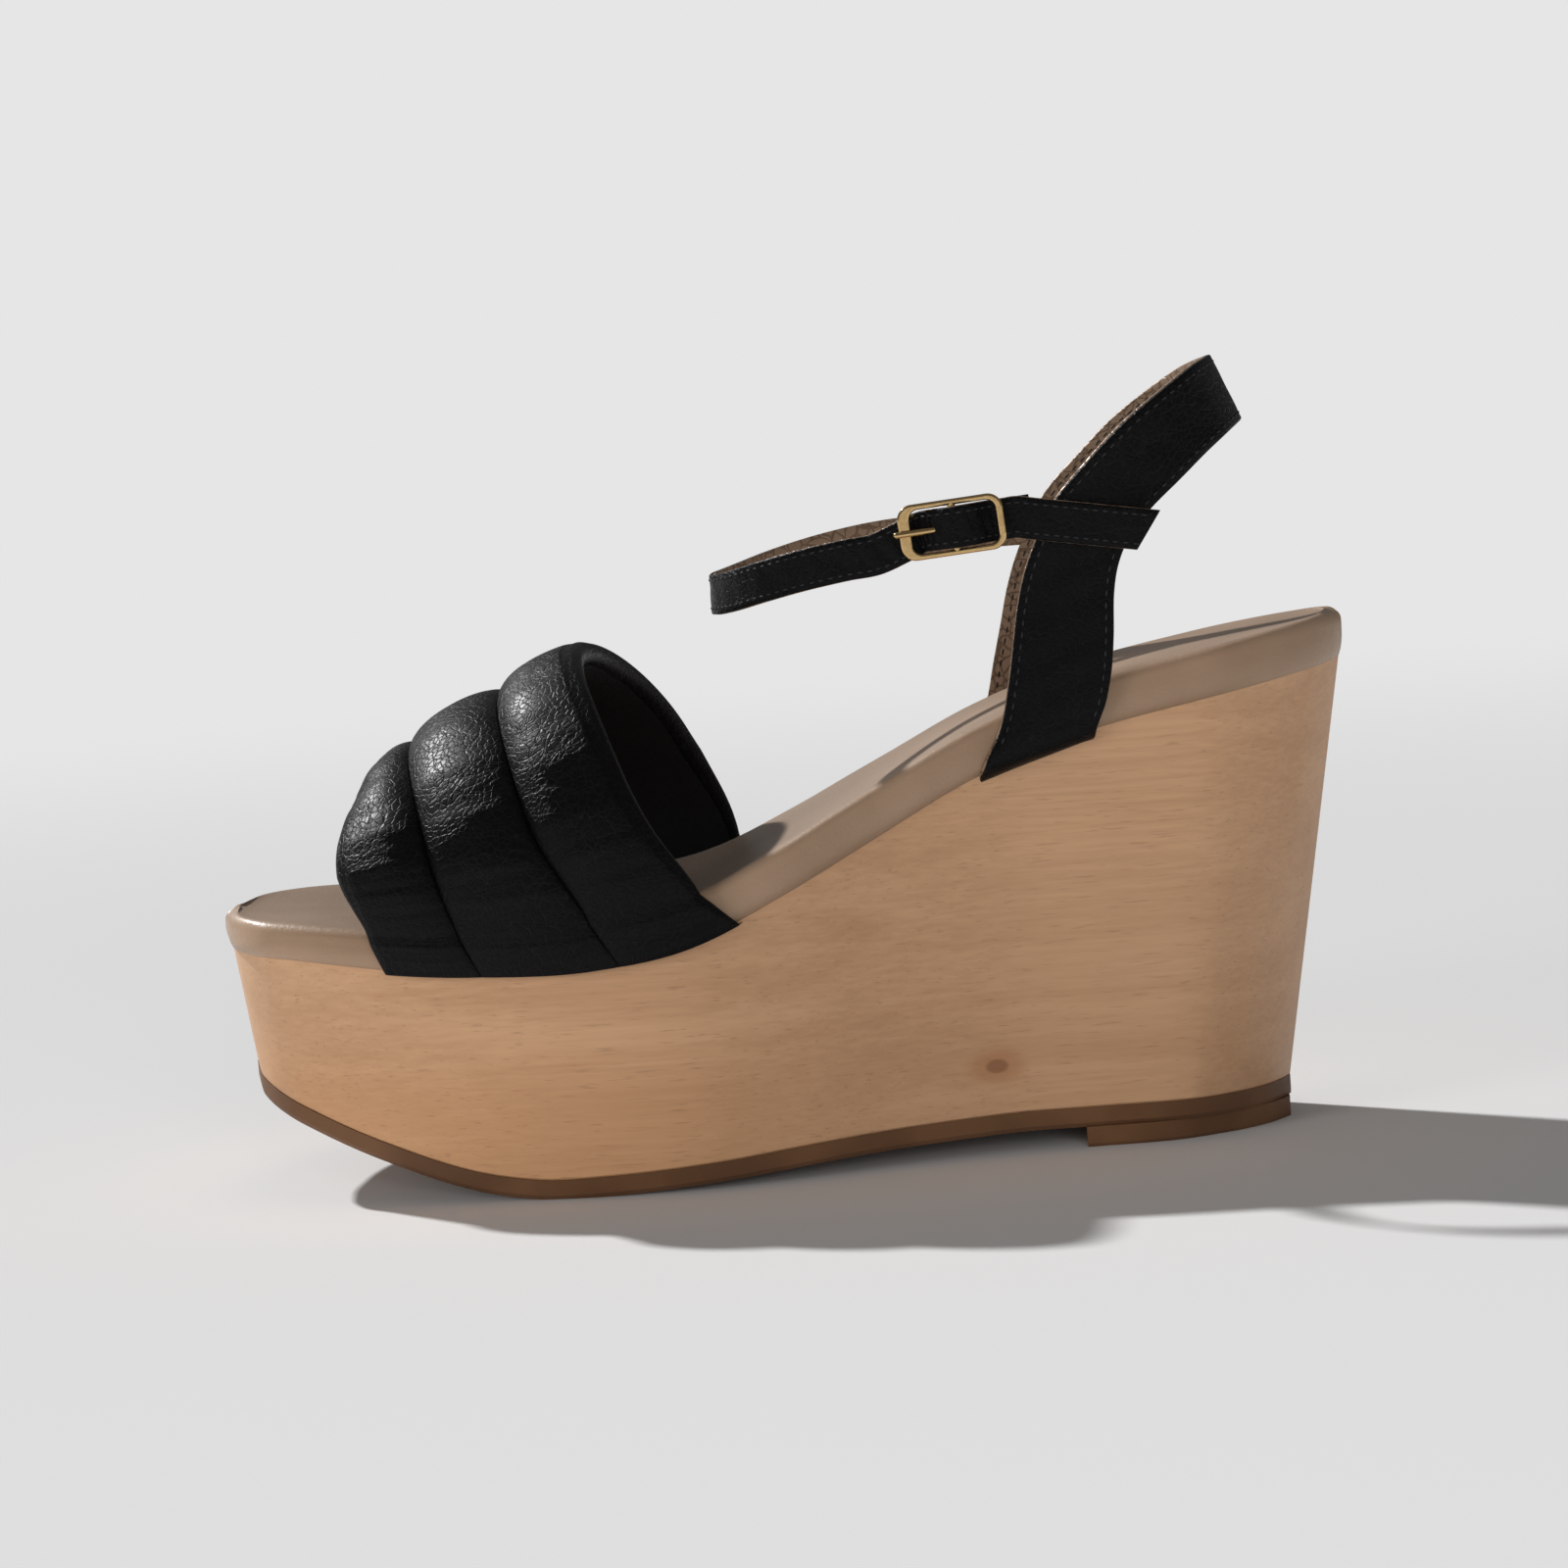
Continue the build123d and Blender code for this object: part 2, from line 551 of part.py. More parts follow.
# --- buckle --------------------------------------------------------------------------------------------------
STRAP_THICKNESS = ANKLE_LEATHER_THICKNESS + LAYER_GAP + ANKLE_LINING_THICKNESS
BACK_STRAP_THICKNESS = BACK_LINING_THICKNESS + STAY_THICKNESS + BACK_LEATHER_THICKNESS + 2 * LAYER_GAP
WINDOW = (BUCKLE_LENGTH - FRONT_BAR - REAR_BAR) / 2      # from the centre bar to either end bar
FRAME_WIDTH = ANKLE_STRAP_WIDTH + 2 * (BUCKLE_CLEARANCE + TOP_BAR)
TILT_TRAVEL = WINDOW * math.sin(math.radians(BUCKLE_SWING))
DIP = FRAME_THICKNESS / 2 + TILT_TRAVEL + BEND_GAP + STRAP_THICKNESS / 2
TAB_RADIUS = BAR_RADIUS + TAB_CLEARANCE + TAB_THICKNESS
CREST = TAB_RADIUS + 0.25 + STRAP_THICKNESS / 2
TAIL_OUT = BACK_STRAP_HALF + BACK_STRAP_THICKNESS + TAIL_CLEARANCE + STRAP_THICKNESS / 2
FRAME_OUT = TAIL_OUT + DIP
BAR_X = HEEL_X - BUCKLE_BAR_FORWARD
BUCKLE_PLANE = Plane(
    origin=(BAR_X, HEEL_CENTRE_Y - FRAME_OUT, BUCKLE_BAR_HEIGHT),
    x_dir=(math.cos(math.radians(BUCKLE_TILT)), 0, math.sin(math.radians(BUCKLE_TILT))),
    z_dir=(0, -1, 0),
)


def at_buckle(along_strap, across, outward):
    return BUCKLE_PLANE.from_local_coords(Vector(along_strap, across, outward))


def placed(shape):
    return shape.moved(BUCKLE_PLANE.location)


def make_buckle():
    left = -WINDOW - FRONT_BAR
    middle = left + BUCKLE_LENGTH / 2
    outline = Pos(middle, 0) * RectangleRounded(BUCKLE_LENGTH, FRAME_WIDTH, FRAME_CORNER)
    window_height = FRAME_WIDTH - 2 * TOP_BAR
    window = RectangleRounded(2 * WINDOW, window_height, FRAME_CORNER - TOP_BAR)
    frame = extrude(outline - window, FRAME_THICKNESS / 2, both=True)
    frame = fillet(frame.edges().filter_by(Axis.Z, reverse=True), FRAME_THICKNESS * 0.28)
    bar_length = window_height + TOP_BAR
    bar = Rot(90, 0, 0) * Cylinder(BAR_RADIUS, bar_length)
    frame = frame - bar
    return placed(frame), placed(bar)


def make_prong():
    eye_radius = BAR_RADIUS + PRONG_CLEARANCE
    eye = Cylinder(eye_radius + PRONG_EYE_WALL, PRONG_WIDTH)
    rest = FRAME_THICKNESS / 2 + PRONG_REST_GAP + PRONG_RADIUS
    start = Vector(-eye_radius, 0.3, 0)
    tip = Vector(-WINDOW - FRONT_BAR - 0.5, rest, 0)
    knee = Vector(-WINDOW + PRONG_RADIUS, rest, 0)
    prong = eye
    for a, b in ((start, knee), (knee, tip)):
        reach = b - a
        shank = Plane(origin=a, z_dir=reach) * Cylinder(
            PRONG_RADIUS, reach.length, align=(Align.CENTER, Align.CENTER, Align.MIN)
        )
        prong = prong + shank + Pos(*b) * Sphere(PRONG_RADIUS)
    prong = prong - Cylinder(eye_radius, 4 * PRONG_WIDTH)
    return placed(Rot(90, 0, 0) * prong)


def make_tab():
    """Short leather strap folded round the centre bar and joined to the back strap."""
    r = TAB_RADIUS
    top = -DIP - STRAP_THICKNESS / 2 - LAYER_GAP
    low = top - 2 * TAB_THICKNESS
    end = HEEL_X - STRAP_END_FORWARD - BAR_X
    leg = Polygon(
        (0, 0.75 * r), (0.8 * r, 0.4 * r), (0.38 * WINDOW, -1.0 * r), (0.7 * WINDOW, top + 0.12),
        (WINDOW, top), (end, top), (end, low), (0.95 * WINDOW, low), (0.35 * WINDOW, -1.9 * r), (0, -0.97 * r),
        align=None,
    )
    profile = Circle(r) + leg - Circle(BAR_RADIUS + TAB_CLEARANCE)
    tab = extrude(profile, ANKLE_STRAP_WIDTH / 2, both=True)
    slot = Pos(-r / 2, 0, 0) * Box(3.2 * r, 4 * r, PRONG_WIDTH + 2 * BEND_GAP)
    return placed(Rot(90, 0, 0) * (tab - slot))


# --- ankle strap ---------------------------------------------------------------------------------------------
drop = Graph(ANKLE_LOOP_DROP)


def loop_point(forward, side):
    """Middle of the strap on the open loop, by distance forward of the bar."""
    start = ANKLE_LOOP_LENGTH - ANKLE_LOOP_CURVE
    share = min(max((forward - start) / ANKLE_LOOP_CURVE, 0.0), 1.0)
    out = TAIL_OUT if side < 0 else BACK_STRAP_HALF + BACK_STRAP_THICKNESS / 2
    y = HEEL_CENTRE_Y + side * out * math.sqrt(1 - share ** 2)
    return Vector(BAR_X - forward, y, BUCKLE_BAR_HEIGHT - drop.at(forward))


def threaded_point(u):
    """Middle of the strap where it is threaded through the buckle."""
    share = min(abs(u) / (WINDOW - 0.4), 1.0)
    rise = math.cos(share * math.pi / 2) ** 2
    sag = min(max((-u - 0.65 * WINDOW) / 6.0, 0.0), 1.0)
    return at_buckle(u, -1.9 * sag ** 1.3, -DIP + (DIP + CREST) * rise)


def ankle_path():
    far_end = BAR_X - (HEEL_X - STRAP_END_FORWARD)
    far = [loop_point(f, 1) for f in (far_end, -4.0, 6.0, 14.0, 22.0, 31.0, 39.0, 44.5, 48.0, 49.6)]
    near = [loop_point(f, -1) for f in (49.6, 48.0, 44.5, 39.0, 31.0, 22.0, 16.0)]
    steps = (-1.32, -1.08, -0.88, -0.72, -0.55, -0.38, -0.2, 0.0, 0.2, 0.38, 0.55, 0.72, 0.88, 1.05, 1.25, 1.45)
    threaded = [threaded_point(s * WINDOW) for s in steps]
    return far + near + threaded


def strap_pairs(path):
    """Edge points of a strap of even width along a path through its middle."""
    pairs = []
    for i, p in enumerate(path):
        run = (path[min(i + 1, len(path) - 1)] - path[max(i - 1, 0)]).normalized()
        up = (Vector(0, 0, 1) - run * run.Z).normalized() * (ANKLE_STRAP_WIDTH / 2)
        pairs.append((p - up, p + up))
    return pairs


def strap_layers(pairs):
    low = -STRAP_THICKNESS / 2
    lining = band(pairs, low, low + ANKLE_LINING_THICKNESS)
    leather = band(pairs, low + ANKLE_LINING_THICKNESS + LAYER_GAP, -low)
    return lining, leather


def make_ankle_strap():
    slot_length = 0.56 * WINDOW
    slot_middle = -0.4 * WINDOW
    slot = extrude(Pos(slot_middle, 0) * SlotOverall(slot_length, PRONG_SLOT), 4 * CREST, both=True)
    pairs = strap_pairs(ankle_path())
    low, high = pairs[0]
    pairs[0] = (low - Vector(STRAP_END_SLANT, 0, 0), high)
    lining, leather = strap_layers(pairs)
    return lining - placed(slot), leather - placed(slot)


def make_tail():
    gap = Vector(BEND_GAP, 0, 0)
    start = ankle_path()[-1] + gap
    fall = Vector(TAIL_LENGTH, 0, -TAIL_DROP)
    path = [start + fall * (i / 3) for i in range(4)]
    end_low, end_high = strap_pairs(ankle_path())[-1]
    pairs = [(end_low + gap, end_high + gap)] + strap_pairs(path)[1:]
    low, high = pairs[-1]
    pairs[-1] = (low - fall.normalized() * TAIL_SLANT, high)
    return strap_layers(pairs)


# --- everything together -------------------------------------------------------------------------------------
def cut_for_straps(wood):
    toe_depth = TOE_LINING_THICKNESS + LAYER_GAP + TOE_LEATHER_THICKNESS
    back_depth = BACK_LINING_THICKNESS + LAYER_GAP + BACK_LEATHER_THICKNESS
    toe = (TOE_X + TOE_TAB_FRONT, TOE_X + TOE_TAB_REAR, toe_depth)
    back = (HEEL_X - BACK_TAB_FRONT, HEEL_X - BACK_TAB_REAR, back_depth)
    for x0, x1, depth in (toe, back):
        for side in (-1, 1):
            wood = wood - tucked(x0 - BEND_GAP, x1 + BEND_GAP, side, MARGIN, 1.0, -depth)
    return wood


def make_all():
    wood = cut_for_straps(make_wood())
    cover, board, foam = make_footbed()
    toe_lining, toe_cover, rolls = make_toe_strap()
    back_lining, stay, back_leather = make_back_strap()
    strap_lining, strap_leather = make_ankle_strap()
    tail_lining, tail_leather = make_tail()
    frame, bar = make_buckle()
    return {
        "wood_wedge": wood,
        "outsole": make_outsole(),
        "heel_lift": make_heel_lift(),
        "insole_board": board,
        "footbed_foam": foam,
        "footbed_cover": cover,
        "toe_strap_lining": toe_lining,
        "toe_strap_padding_front": rolls[0],
        "toe_strap_padding_middle": rolls[1],
        "toe_strap_padding_rear": rolls[2],
        "toe_strap_outer": toe_cover,
        "back_strap_lining": back_lining,
        "back_strap_stay": stay,
        "back_strap_outer": back_leather,
        "ankle_strap_lining": strap_lining,
        "ankle_strap_outer": strap_leather,
        "strap_tail_lining": tail_lining,
        "strap_tail_outer": tail_leather,
        "buckle_tab": make_tab(),
        "buckle_frame": frame,
        "buckle_bar": bar,
        "buckle_prong": make_prong(),
    }


os.makedirs("parts", exist_ok=True)
for name, shape in make_all().items():
    export_step(shape, f"parts/{name}.step")
    print(name, round(shape.volume, 1))
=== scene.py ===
import math

import bmesh
import bpy
from mathutils import Matrix, Vector


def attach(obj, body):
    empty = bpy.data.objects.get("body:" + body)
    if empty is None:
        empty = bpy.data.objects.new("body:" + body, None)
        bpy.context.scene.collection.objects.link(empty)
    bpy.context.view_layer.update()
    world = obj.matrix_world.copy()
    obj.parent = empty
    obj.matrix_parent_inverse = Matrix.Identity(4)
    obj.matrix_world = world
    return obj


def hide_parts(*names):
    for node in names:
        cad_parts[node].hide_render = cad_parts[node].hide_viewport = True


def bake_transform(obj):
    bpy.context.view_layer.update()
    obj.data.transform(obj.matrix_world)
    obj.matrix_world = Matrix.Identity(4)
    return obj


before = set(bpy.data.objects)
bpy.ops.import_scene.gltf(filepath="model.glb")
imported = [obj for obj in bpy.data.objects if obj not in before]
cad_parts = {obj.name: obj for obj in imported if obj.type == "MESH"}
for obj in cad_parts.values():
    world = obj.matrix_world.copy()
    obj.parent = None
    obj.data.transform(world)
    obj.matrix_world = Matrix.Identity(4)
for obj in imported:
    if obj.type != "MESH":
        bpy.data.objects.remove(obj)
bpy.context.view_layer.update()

# --- studio ------------------------------------------------------------------------------------------------
# A low sun-like key from behind on the toe side, two soft fills, and a camera with a long lens standing
# low on the shoe's outer side. The room is dim, so that the near side falls into soft shade.
MM = 0.001
PAPER_GLOW = 0.79
AMBIENT = 0.13
LENS = 100.9
SENSOR = 36.0
SHOE_MIDDLE = Vector((0, 0, 0.05))
KEY_RAY = Vector((0.75, -0.66, -0.80))
KEY_POWER = 3.35
KEY_SOFTNESS = math.radians(2.5)
CAMERA_AT = Vector((45.8, -887.4, 163.9)) * MM
CAMERA_RIGHT = Vector((0.996449, 0.043574, -0.072058))
CAMERA_UP = Vector((0.067245, 0.103311, 0.992373))
CAMERA_BACK = Vector((0.050687, -0.993694, 0.100014))

bpy.context.scene.view_settings.view_transform = "Standard"
camera_data = bpy.data.cameras.new("camera")
camera_data.lens = LENS
camera_data.sensor_width = SENSOR
camera = bpy.data.objects.new("camera", camera_data)
bpy.context.collection.objects.link(camera)
turned = Matrix((CAMERA_RIGHT, CAMERA_UP, CAMERA_BACK)).transposed().to_4x4()
camera.matrix_world = Matrix.Translation(CAMERA_AT) @ turned
bpy.context.scene.camera = camera

world = bpy.data.worlds.new("studio")
world.use_nodes = True
room = world.node_tree
backdrop = room.nodes.new("ShaderNodeBackground")
backdrop.inputs["Color"].default_value = (*[PAPER_GLOW] * 3, 1)
room.nodes["Background"].inputs["Color"].default_value = (*[AMBIENT] * 3, 1)
choice = room.nodes.new("ShaderNodeMixShader")
sight = room.nodes.new("ShaderNodeLightPath")
room.links.new(sight.outputs["Is Camera Ray"], choice.inputs[0])
room.links.new(room.nodes["Background"].outputs[0], choice.inputs[1])
room.links.new(backdrop.outputs[0], choice.inputs[2])
room.links.new(choice.outputs[0], room.nodes["World Output"].inputs["Surface"])
bpy.context.scene.world = world


def soft_fill(name, place, size, power):
    """A round soft light aimed at the shoe, which polished surfaces don't mirror."""
    data = bpy.data.lights.new(name, "AREA")
    data.shape = "DISK"
    data.size = size
    data.energy = power
    lamp = bpy.data.objects.new(name, data)
    bpy.context.collection.objects.link(lamp)
    lamp.visible_glossy = False
    lamp.location = place
    lamp.rotation_euler = (SHOE_MIDDLE - Vector(place)).to_track_quat("-Z", "Y").to_euler()


soft_fill("front_fill", (0.7, -3.2, 0.7), 1.4, 27)
soft_fill("toe_fill", (-2.4, -1.8, 0.5), 1.4, 30)
key_data = bpy.data.lights.new("key", "SUN")
key_data.energy = KEY_POWER
key_data.angle = KEY_SOFTNESS
key = bpy.data.objects.new("key", key_data)
bpy.context.collection.objects.link(key)
key.rotation_euler = KEY_RAY.to_track_quat("-Z", "Y").to_euler()


class Value:
    """A shader socket that adds its own Math nodes when it is used in an expression."""

    def __init__(self, finish, socket):
        self.finish = finish
        self.socket = socket

    def math(self, operation, *others):
        node = self.finish.node("ShaderNodeMath", {"operation": operation}, [self, *others])
        return Value(self.finish, node.outputs[0])

    def __add__(self, other):
        return self.math("ADD", other)

    def __sub__(self, other):
        return self.math("SUBTRACT", other)

    def __rsub__(self, other):
        return (self * -1) + other

    def __mul__(self, other):
        return self.math("MULTIPLY", other)

    __radd__ = __add__
    __rmul__ = __mul__

    def ramp(self, low, high):
        """0 below low, 1 above high and smooth in between."""
        node = self.finish.node(
            "ShaderNodeMapRange", {"interpolation_type": "SMOOTHSTEP"},
            {"Value": self, "From Min": low, "From Max": high},
        )
        return Value(self.finish, node.outputs[0])


class Finish:
    """A node material on a Principled BSDF."""

    def __init__(self, name):
        self.material = bpy.data.materials.new(name)
        self.material.use_nodes = True
        self.tree = self.material.node_tree
        self.shader = self.tree.nodes["Principled BSDF"]
        self.coords = self.node("ShaderNodeTexCoord").outputs["Object"]

    def node(self, kind, settings=None, inputs=()):
        node = self.tree.nodes.new(kind)
        for key, setting in (settings or {}).items():
            setattr(node, key, setting)
        self.fill(node, inputs)
        return node

    def fill(self, node, inputs):
        pairs = inputs.items() if isinstance(inputs, dict) else enumerate(inputs)
        for key, source in pairs:
            if isinstance(source, Value):
                source = source.socket
            if isinstance(source, bpy.types.NodeSocket):
                self.tree.links.new(source, node.inputs[key])
            else:
                node.inputs[key].default_value = source

    def stretched(self, scale):
        node = self.node("ShaderNodeMapping", None, {"Vector": self.coords, "Scale": scale})
        return node.outputs[0]

    def noise(self, scale, detail=4, where=None, roughness=0.5, distortion=0.0):
        node = self.node("ShaderNodeTexNoise", None, {
            "Vector": where or self.coords, "Scale": scale, "Detail": detail,
            "Roughness": roughness, "Distortion": distortion,
        })
        return Value(self, node.outputs["Fac"])

    def cells(self, scale, feature, where):
        node = self.node("ShaderNodeTexVoronoi", {"feature": feature}, {
            "Vector": where, "Scale": scale, "Randomness": 1.0,
        })
        return Value(self, node.outputs["Distance"])

    def warped(self, scale, amount):
        """Object coordinates pushed about by a noise."""
        noise = self.node("ShaderNodeTexNoise", None, {"Vector": self.coords, "Scale": scale, "Detail": 2})
        moved = self.node("ShaderNodeVectorMath", {"operation": "MULTIPLY_ADD"},
                          [noise.outputs["Color"], (amount, amount, amount), self.coords])
        return moved.outputs[0]

    def mix(self, share, low, high):
        node = self.node("ShaderNodeMix", {"data_type": "RGBA"}, {0: share, 6: low, 7: high})
        return node.outputs[2]

    def bump(self, height, distance):
        """Relief of that many millimetres from a height of 0 to 1."""
        inputs = {"Height": height, "Distance": distance * MM, "Strength": 1.0}
        return self.node("ShaderNodeBump", None, inputs).outputs["Normal"]

    def set(self, **sockets):
        self.fill(self.shader, {key.replace("_", " "): source for key, source in sockets.items()})
        return self.material


# --- wooden wedge ------------------------------------------------------------------------------------------
# One block of pale tan wood, band-sawn to the foot's outline, with a raked heel, a sprung toe and a
# satin lacquer. Its grain runs along the shoe; the front half is warmer near the ground.
FOOTBED_LENGTH = 230.0
TOE_X = -FOOTBED_LENGTH / 2
HEEL_X = FOOTBED_LENGTH / 2
PLATFORM_HEIGHT = 45.7
HEEL_HEIGHT = 92.9
OUTSOLE_THICKNESS = 4.0
ARCH_LIFT = 4.1
WOOD_REVEAL = 0.9        # how far the wood's edge sits inside the footbed's
TOE_RAKE = 3.2           # how far the wood's lower outline stops short of its upper one
TOE_RAKE_REACH = 60.0
HEEL_RAKE = 15.0
HEEL_RAKE_REACH = 80.0
SIDE_DRAFT = 0.06        # share by which the sides draw in over the wedge's full height
FULL_HEIGHT = 91.0
OUTLINE = (   # share of the length from the toe tip, outer side and inner side of the centre plane
    (0.0, 4.5, 3.7), (0.013, 16.2, 17.0), (0.04, 25.6, 27.6), (0.07, 30.2, 34.0), (0.13, 35.8, 41.4),
    (0.22, 41.0, 45.3), (0.33, 44.8, 44.9), (0.42, 44.6, 41.6), (0.51, 39.2, 37.5), (0.60, 31.5, 33.8),
    (0.70, 25.7, 32.4), (0.80, 24.1, 32.7), (0.885, 22.5, 31.3), (0.935, 17.3, 26.9), (0.97, 10.6, 20.7),
    (0.99, 4.0, 14.3), (1.0, -0.9, 8.3),
)
SEAM = (      # top of the wood: share of the length, share of the climb from platform to heel
    (-0.07, 0.13), (0.0, 0.102), (0.08, 0.07), (0.17, 0.02), (0.26, -0.003), (0.34, 0.003),
    (0.42, 0.065), (0.50, 0.225), (0.585, 0.43), (0.67, 0.635), (0.76, 0.785), (0.87, 0.895),
    (1.0, 1.0), (1.07, 1.05),
)
UNDERSIDE = (  # outsole's lower face
    (-130.0, 33.7), (-111.0, 21.6), (-97.0, 14.7), (-83.0, 8.7), (-65.0, 2.4), (-51.0, 0.0), (-40.0, 0.0),
    (-18.0, 1.2), (10.0, 3.2), (40.0, 4.1), (57.0, 4.1), (130.0, 4.1),
)


class Graph:
    """A smooth curve through a few points, read as a function of the first coordinate."""

    def __init__(self, points):
        self.points = list(points)

    def slope(self, k):
        low = self.points[max(k - 1, 0)]
        high = self.points[min(k + 1, len(self.points) - 1)]
        return (high[1] - low[1]) / (high[0] - low[0])

    def at(self, x):
        k = 0
        while k < len(self.points) - 2 and self.points[k + 1][0] <= x:
            k += 1
        (x0, y0), (x1, y1) = self.points[k], self.points[k + 1]
        wide = x1 - x0
        t = min(max((x - x0) / wide, 0.0), 1.0)
        m0 = self.slope(k) * wide
        m1 = self.slope(k + 1) * wide
        rise = y1 - y0
        return y0 + m0 * t + (3 * rise - 2 * m0 - m1) * t ** 2 + (m0 + m1 - 2 * rise) * t ** 3


outer_side = Graph([(TOE_X + s * FOOTBED_LENGTH, -o) for s, o, i in OUTLINE])
inner_side = Graph([(TOE_X + s * FOOTBED_LENGTH, i) for s, o, i in OUTLINE])
seam = Graph([
    (TOE_X + s * FOOTBED_LENGTH, PLATFORM_HEIGHT + c * (HEEL_HEIGHT - PLATFORM_HEIGHT)) for s, c in SEAM
])
underside = Graph(UNDERSIDE)


def wood_low_x(x):
    """Under x of the wood's upper outline: rounded in at the toe, raked in at the heel."""
    toe = max(1 - (x - TOE_X) / TOE_RAKE_REACH, 0.0)
    heel = max(1 - (HEEL_X - x) / HEEL_RAKE_REACH, 0.0)
    return x + TOE_RAKE * toe - HEEL_RAKE * heel


def end_eased(u):
    """Stations bunched towards both ends, where the outline turns quickly."""
    return 0.5 - 0.5 * math.cos(math.pi * u)


def clamp(value, low=0.0, high=1.0):
    return min(max(value, low), high)


def piece(name, bm, body=None, material=None, sharp=50.0, replaces=()):
    """Turns a bmesh into a finished object that rides on a body and stands for CAD nodes."""
    for face in bm.faces:
        face.smooth = True
    for edge in bm.edges:
        if len(edge.link_faces) == 2 and edge.calc_face_angle() > math.radians(sharp):
            edge.smooth = False
    mesh = bpy.data.meshes.new(name)
    bm.to_mesh(mesh)
    bm.free()
    made = bpy.data.objects.new(name, mesh)
    bpy.context.collection.objects.link(made)
    if material:
        mesh.materials.append(material)
    if body:
        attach(made, body)
    if replaces:
        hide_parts(*replaces)
    return made


def tube(columns, rows, point_at):
    """A grid bent round on itself in v, with closed ends, laid over point_at(u, v) in mm."""
    bm = bmesh.new()
    bmesh.ops.create_grid(bm, x_segments=columns, y_segments=rows, size=0.5)
    for vert in bm.verts:
        vert.co = Vector(point_at(vert.co.x + 0.5, vert.co.y + 0.5)) * MM
    bmesh.ops.remove_doubles(bm, verts=bm.verts, dist=2e-7)
    bmesh.ops.holes_fill(bm, edges=[e for e in bm.edges if e.is_boundary], sides=0)
    bmesh.ops.recalc_face_normals(bm, faces=bm.faces)
    return bm


def column_tube(columns, ring_at):
    """tube() through rings that ring_at(u) gives as equal lists of points."""
    rows = len(ring_at(0.5))
    rings = {}

    def point_at(u, v):
        key = round(u * columns)
        if key not in rings:
            rings[key] = ring_at(u)
        return rings[key][round(v * rows) % rows]
    return tube(columns, rows, point_at)


def closed_run(corners, counts):
    """Ring through corners, with that many points on each side."""
    ring = []
    for start, end, count in zip(corners, corners[1:] + corners[:1], counts):
        ring += [start.lerp(end, i / count) for i in range(count)]
    return ring


def sole_ring(u, top_at, low_at, flare, edge, flush=False):
    """Section of a sole layer between two heights, with plumb sides and an eased lower edge.
    flare is extra half breadth below, and flush keeps the layer under the wood's lower outline."""
    x = TOE_X + end_eased(u) * FOOTBED_LENGTH
    shift = WOOD_REVEAL * (1 - 2 * end_eased(u))
    half = (inner_side.at(x) - outer_side.at(x)) / 2 - WOOD_REVEAL
    middle = (inner_side.at(x) + outer_side.at(x)) / 2
    low_x = wood_low_x(x + shift)
    top, low = top_at(low_x if flush else x), low_at(low_x)
    half_low = half * (1 - SIDE_DRAFT * (seam.at(x) - underside.at(low_x)) / FULL_HEIGHT) + flare
    edge = min(edge, half_low / 2)
    high_x = low_x if flush else x + shift
    half_high = half_low if flush else half
    corners = [
        Vector((high_x, middle + half_high, top)), Vector((low_x, middle + half_low, low + edge)),
        Vector((low_x, middle + half_low - edge, low)), Vector((low_x, middle - half_low + edge, low)),
        Vector((low_x, middle - half_low, low + edge)), Vector((high_x, middle - half_high, top)),
    ]
    return closed_run(corners, (12, 2, 8, 2, 12, 8))


wood = Finish("lacquered_wood")
fibres = wood.noise(1.0, 5, wood.stretched((22, 620, 1150)), 0.6)
bands = wood.noise(1.0, 3, wood.stretched((3.2, 60, 125)), 0.55, 0.6)
clouds = wood.noise(1.0, 2, wood.stretched((9, 14, 22)))
pores = wood.noise(1.0, 2, wood.stretched((120, 1500, 2600)), 0.5).ramp(0.60, 0.74)
split = wood.node("ShaderNodeSeparateXYZ", None, [wood.coords])
from_ground = Value(wood, split.outputs["Z"])
along_shoe = Value(wood, split.outputs["X"])
warm_zone = from_ground.ramp(0.040, 0.012) * along_shoe.ramp(0.03, -0.06)
tone = bands * 0.55 + fibres * 0.45
wood_colour = wood.mix(tone.ramp(0.30, 0.72), (0.48, 0.262, 0.132, 1), (0.61, 0.358, 0.198, 1))
wood_colour = wood.mix(clouds.ramp(0.35, 0.75) * 0.35, wood_colour, (0.62, 0.385, 0.235, 1))
wood_colour = wood.mix(warm_zone * 0.35, wood_colour, (0.62, 0.30, 0.12, 1))
wood_colour = wood.mix(pores * 0.35, wood_colour, (0.25, 0.13, 0.07, 1))
knot_x = along_shoe - 0.040
knot_z = from_ground - 0.018
knot = (knot_x * knot_x * 0.4 + knot_z * knot_z) * (0.6 + clouds * 0.8)
knot_side = Value(wood, split.outputs["Y"]).ramp(0.0, -0.01)
wood_colour = wood.mix(knot.ramp(2.2e-5, 1e-6) * knot_side * 0.5, wood_colour, (0.42, 0.17, 0.06, 1))
wood_colour = wood.mix(knot.ramp(3e-6, 1e-6) * knot_side * 0.6, wood_colour, (0.2, 0.08, 0.035, 1))
wood_look = wood.set(
    Base_Color=wood_colour, Roughness=fibres * 0.2 + 0.42, Coat_Weight=0.12, Coat_Roughness=0.35,
    Normal=wood.bump(fibres * 0.5 + pores * -0.5, 0.05),
)
piece(
    "wooden_wedge",
    column_tube(150, lambda u: sole_ring(
        u, seam.at, lambda x: underside.at(x) + OUTSOLE_THICKNESS, flare=0.0, edge=0.4)),
    "sole", wood_look, 40, ["wood_wedge"],
)

# --- rubber outsole and heel lift --------------------------------------------------------------------------
# A thin moulded brown rubber sole is glued under the wood from toe to heel, and a second slab of it makes
# the heel's walking face. Both are flush with the wood, with a fine moulded edge.
LIFT_FRONT = HEEL_X - 58.0
LIFT_LENGTH = 41.8
LIFT_EDGE = 0.7

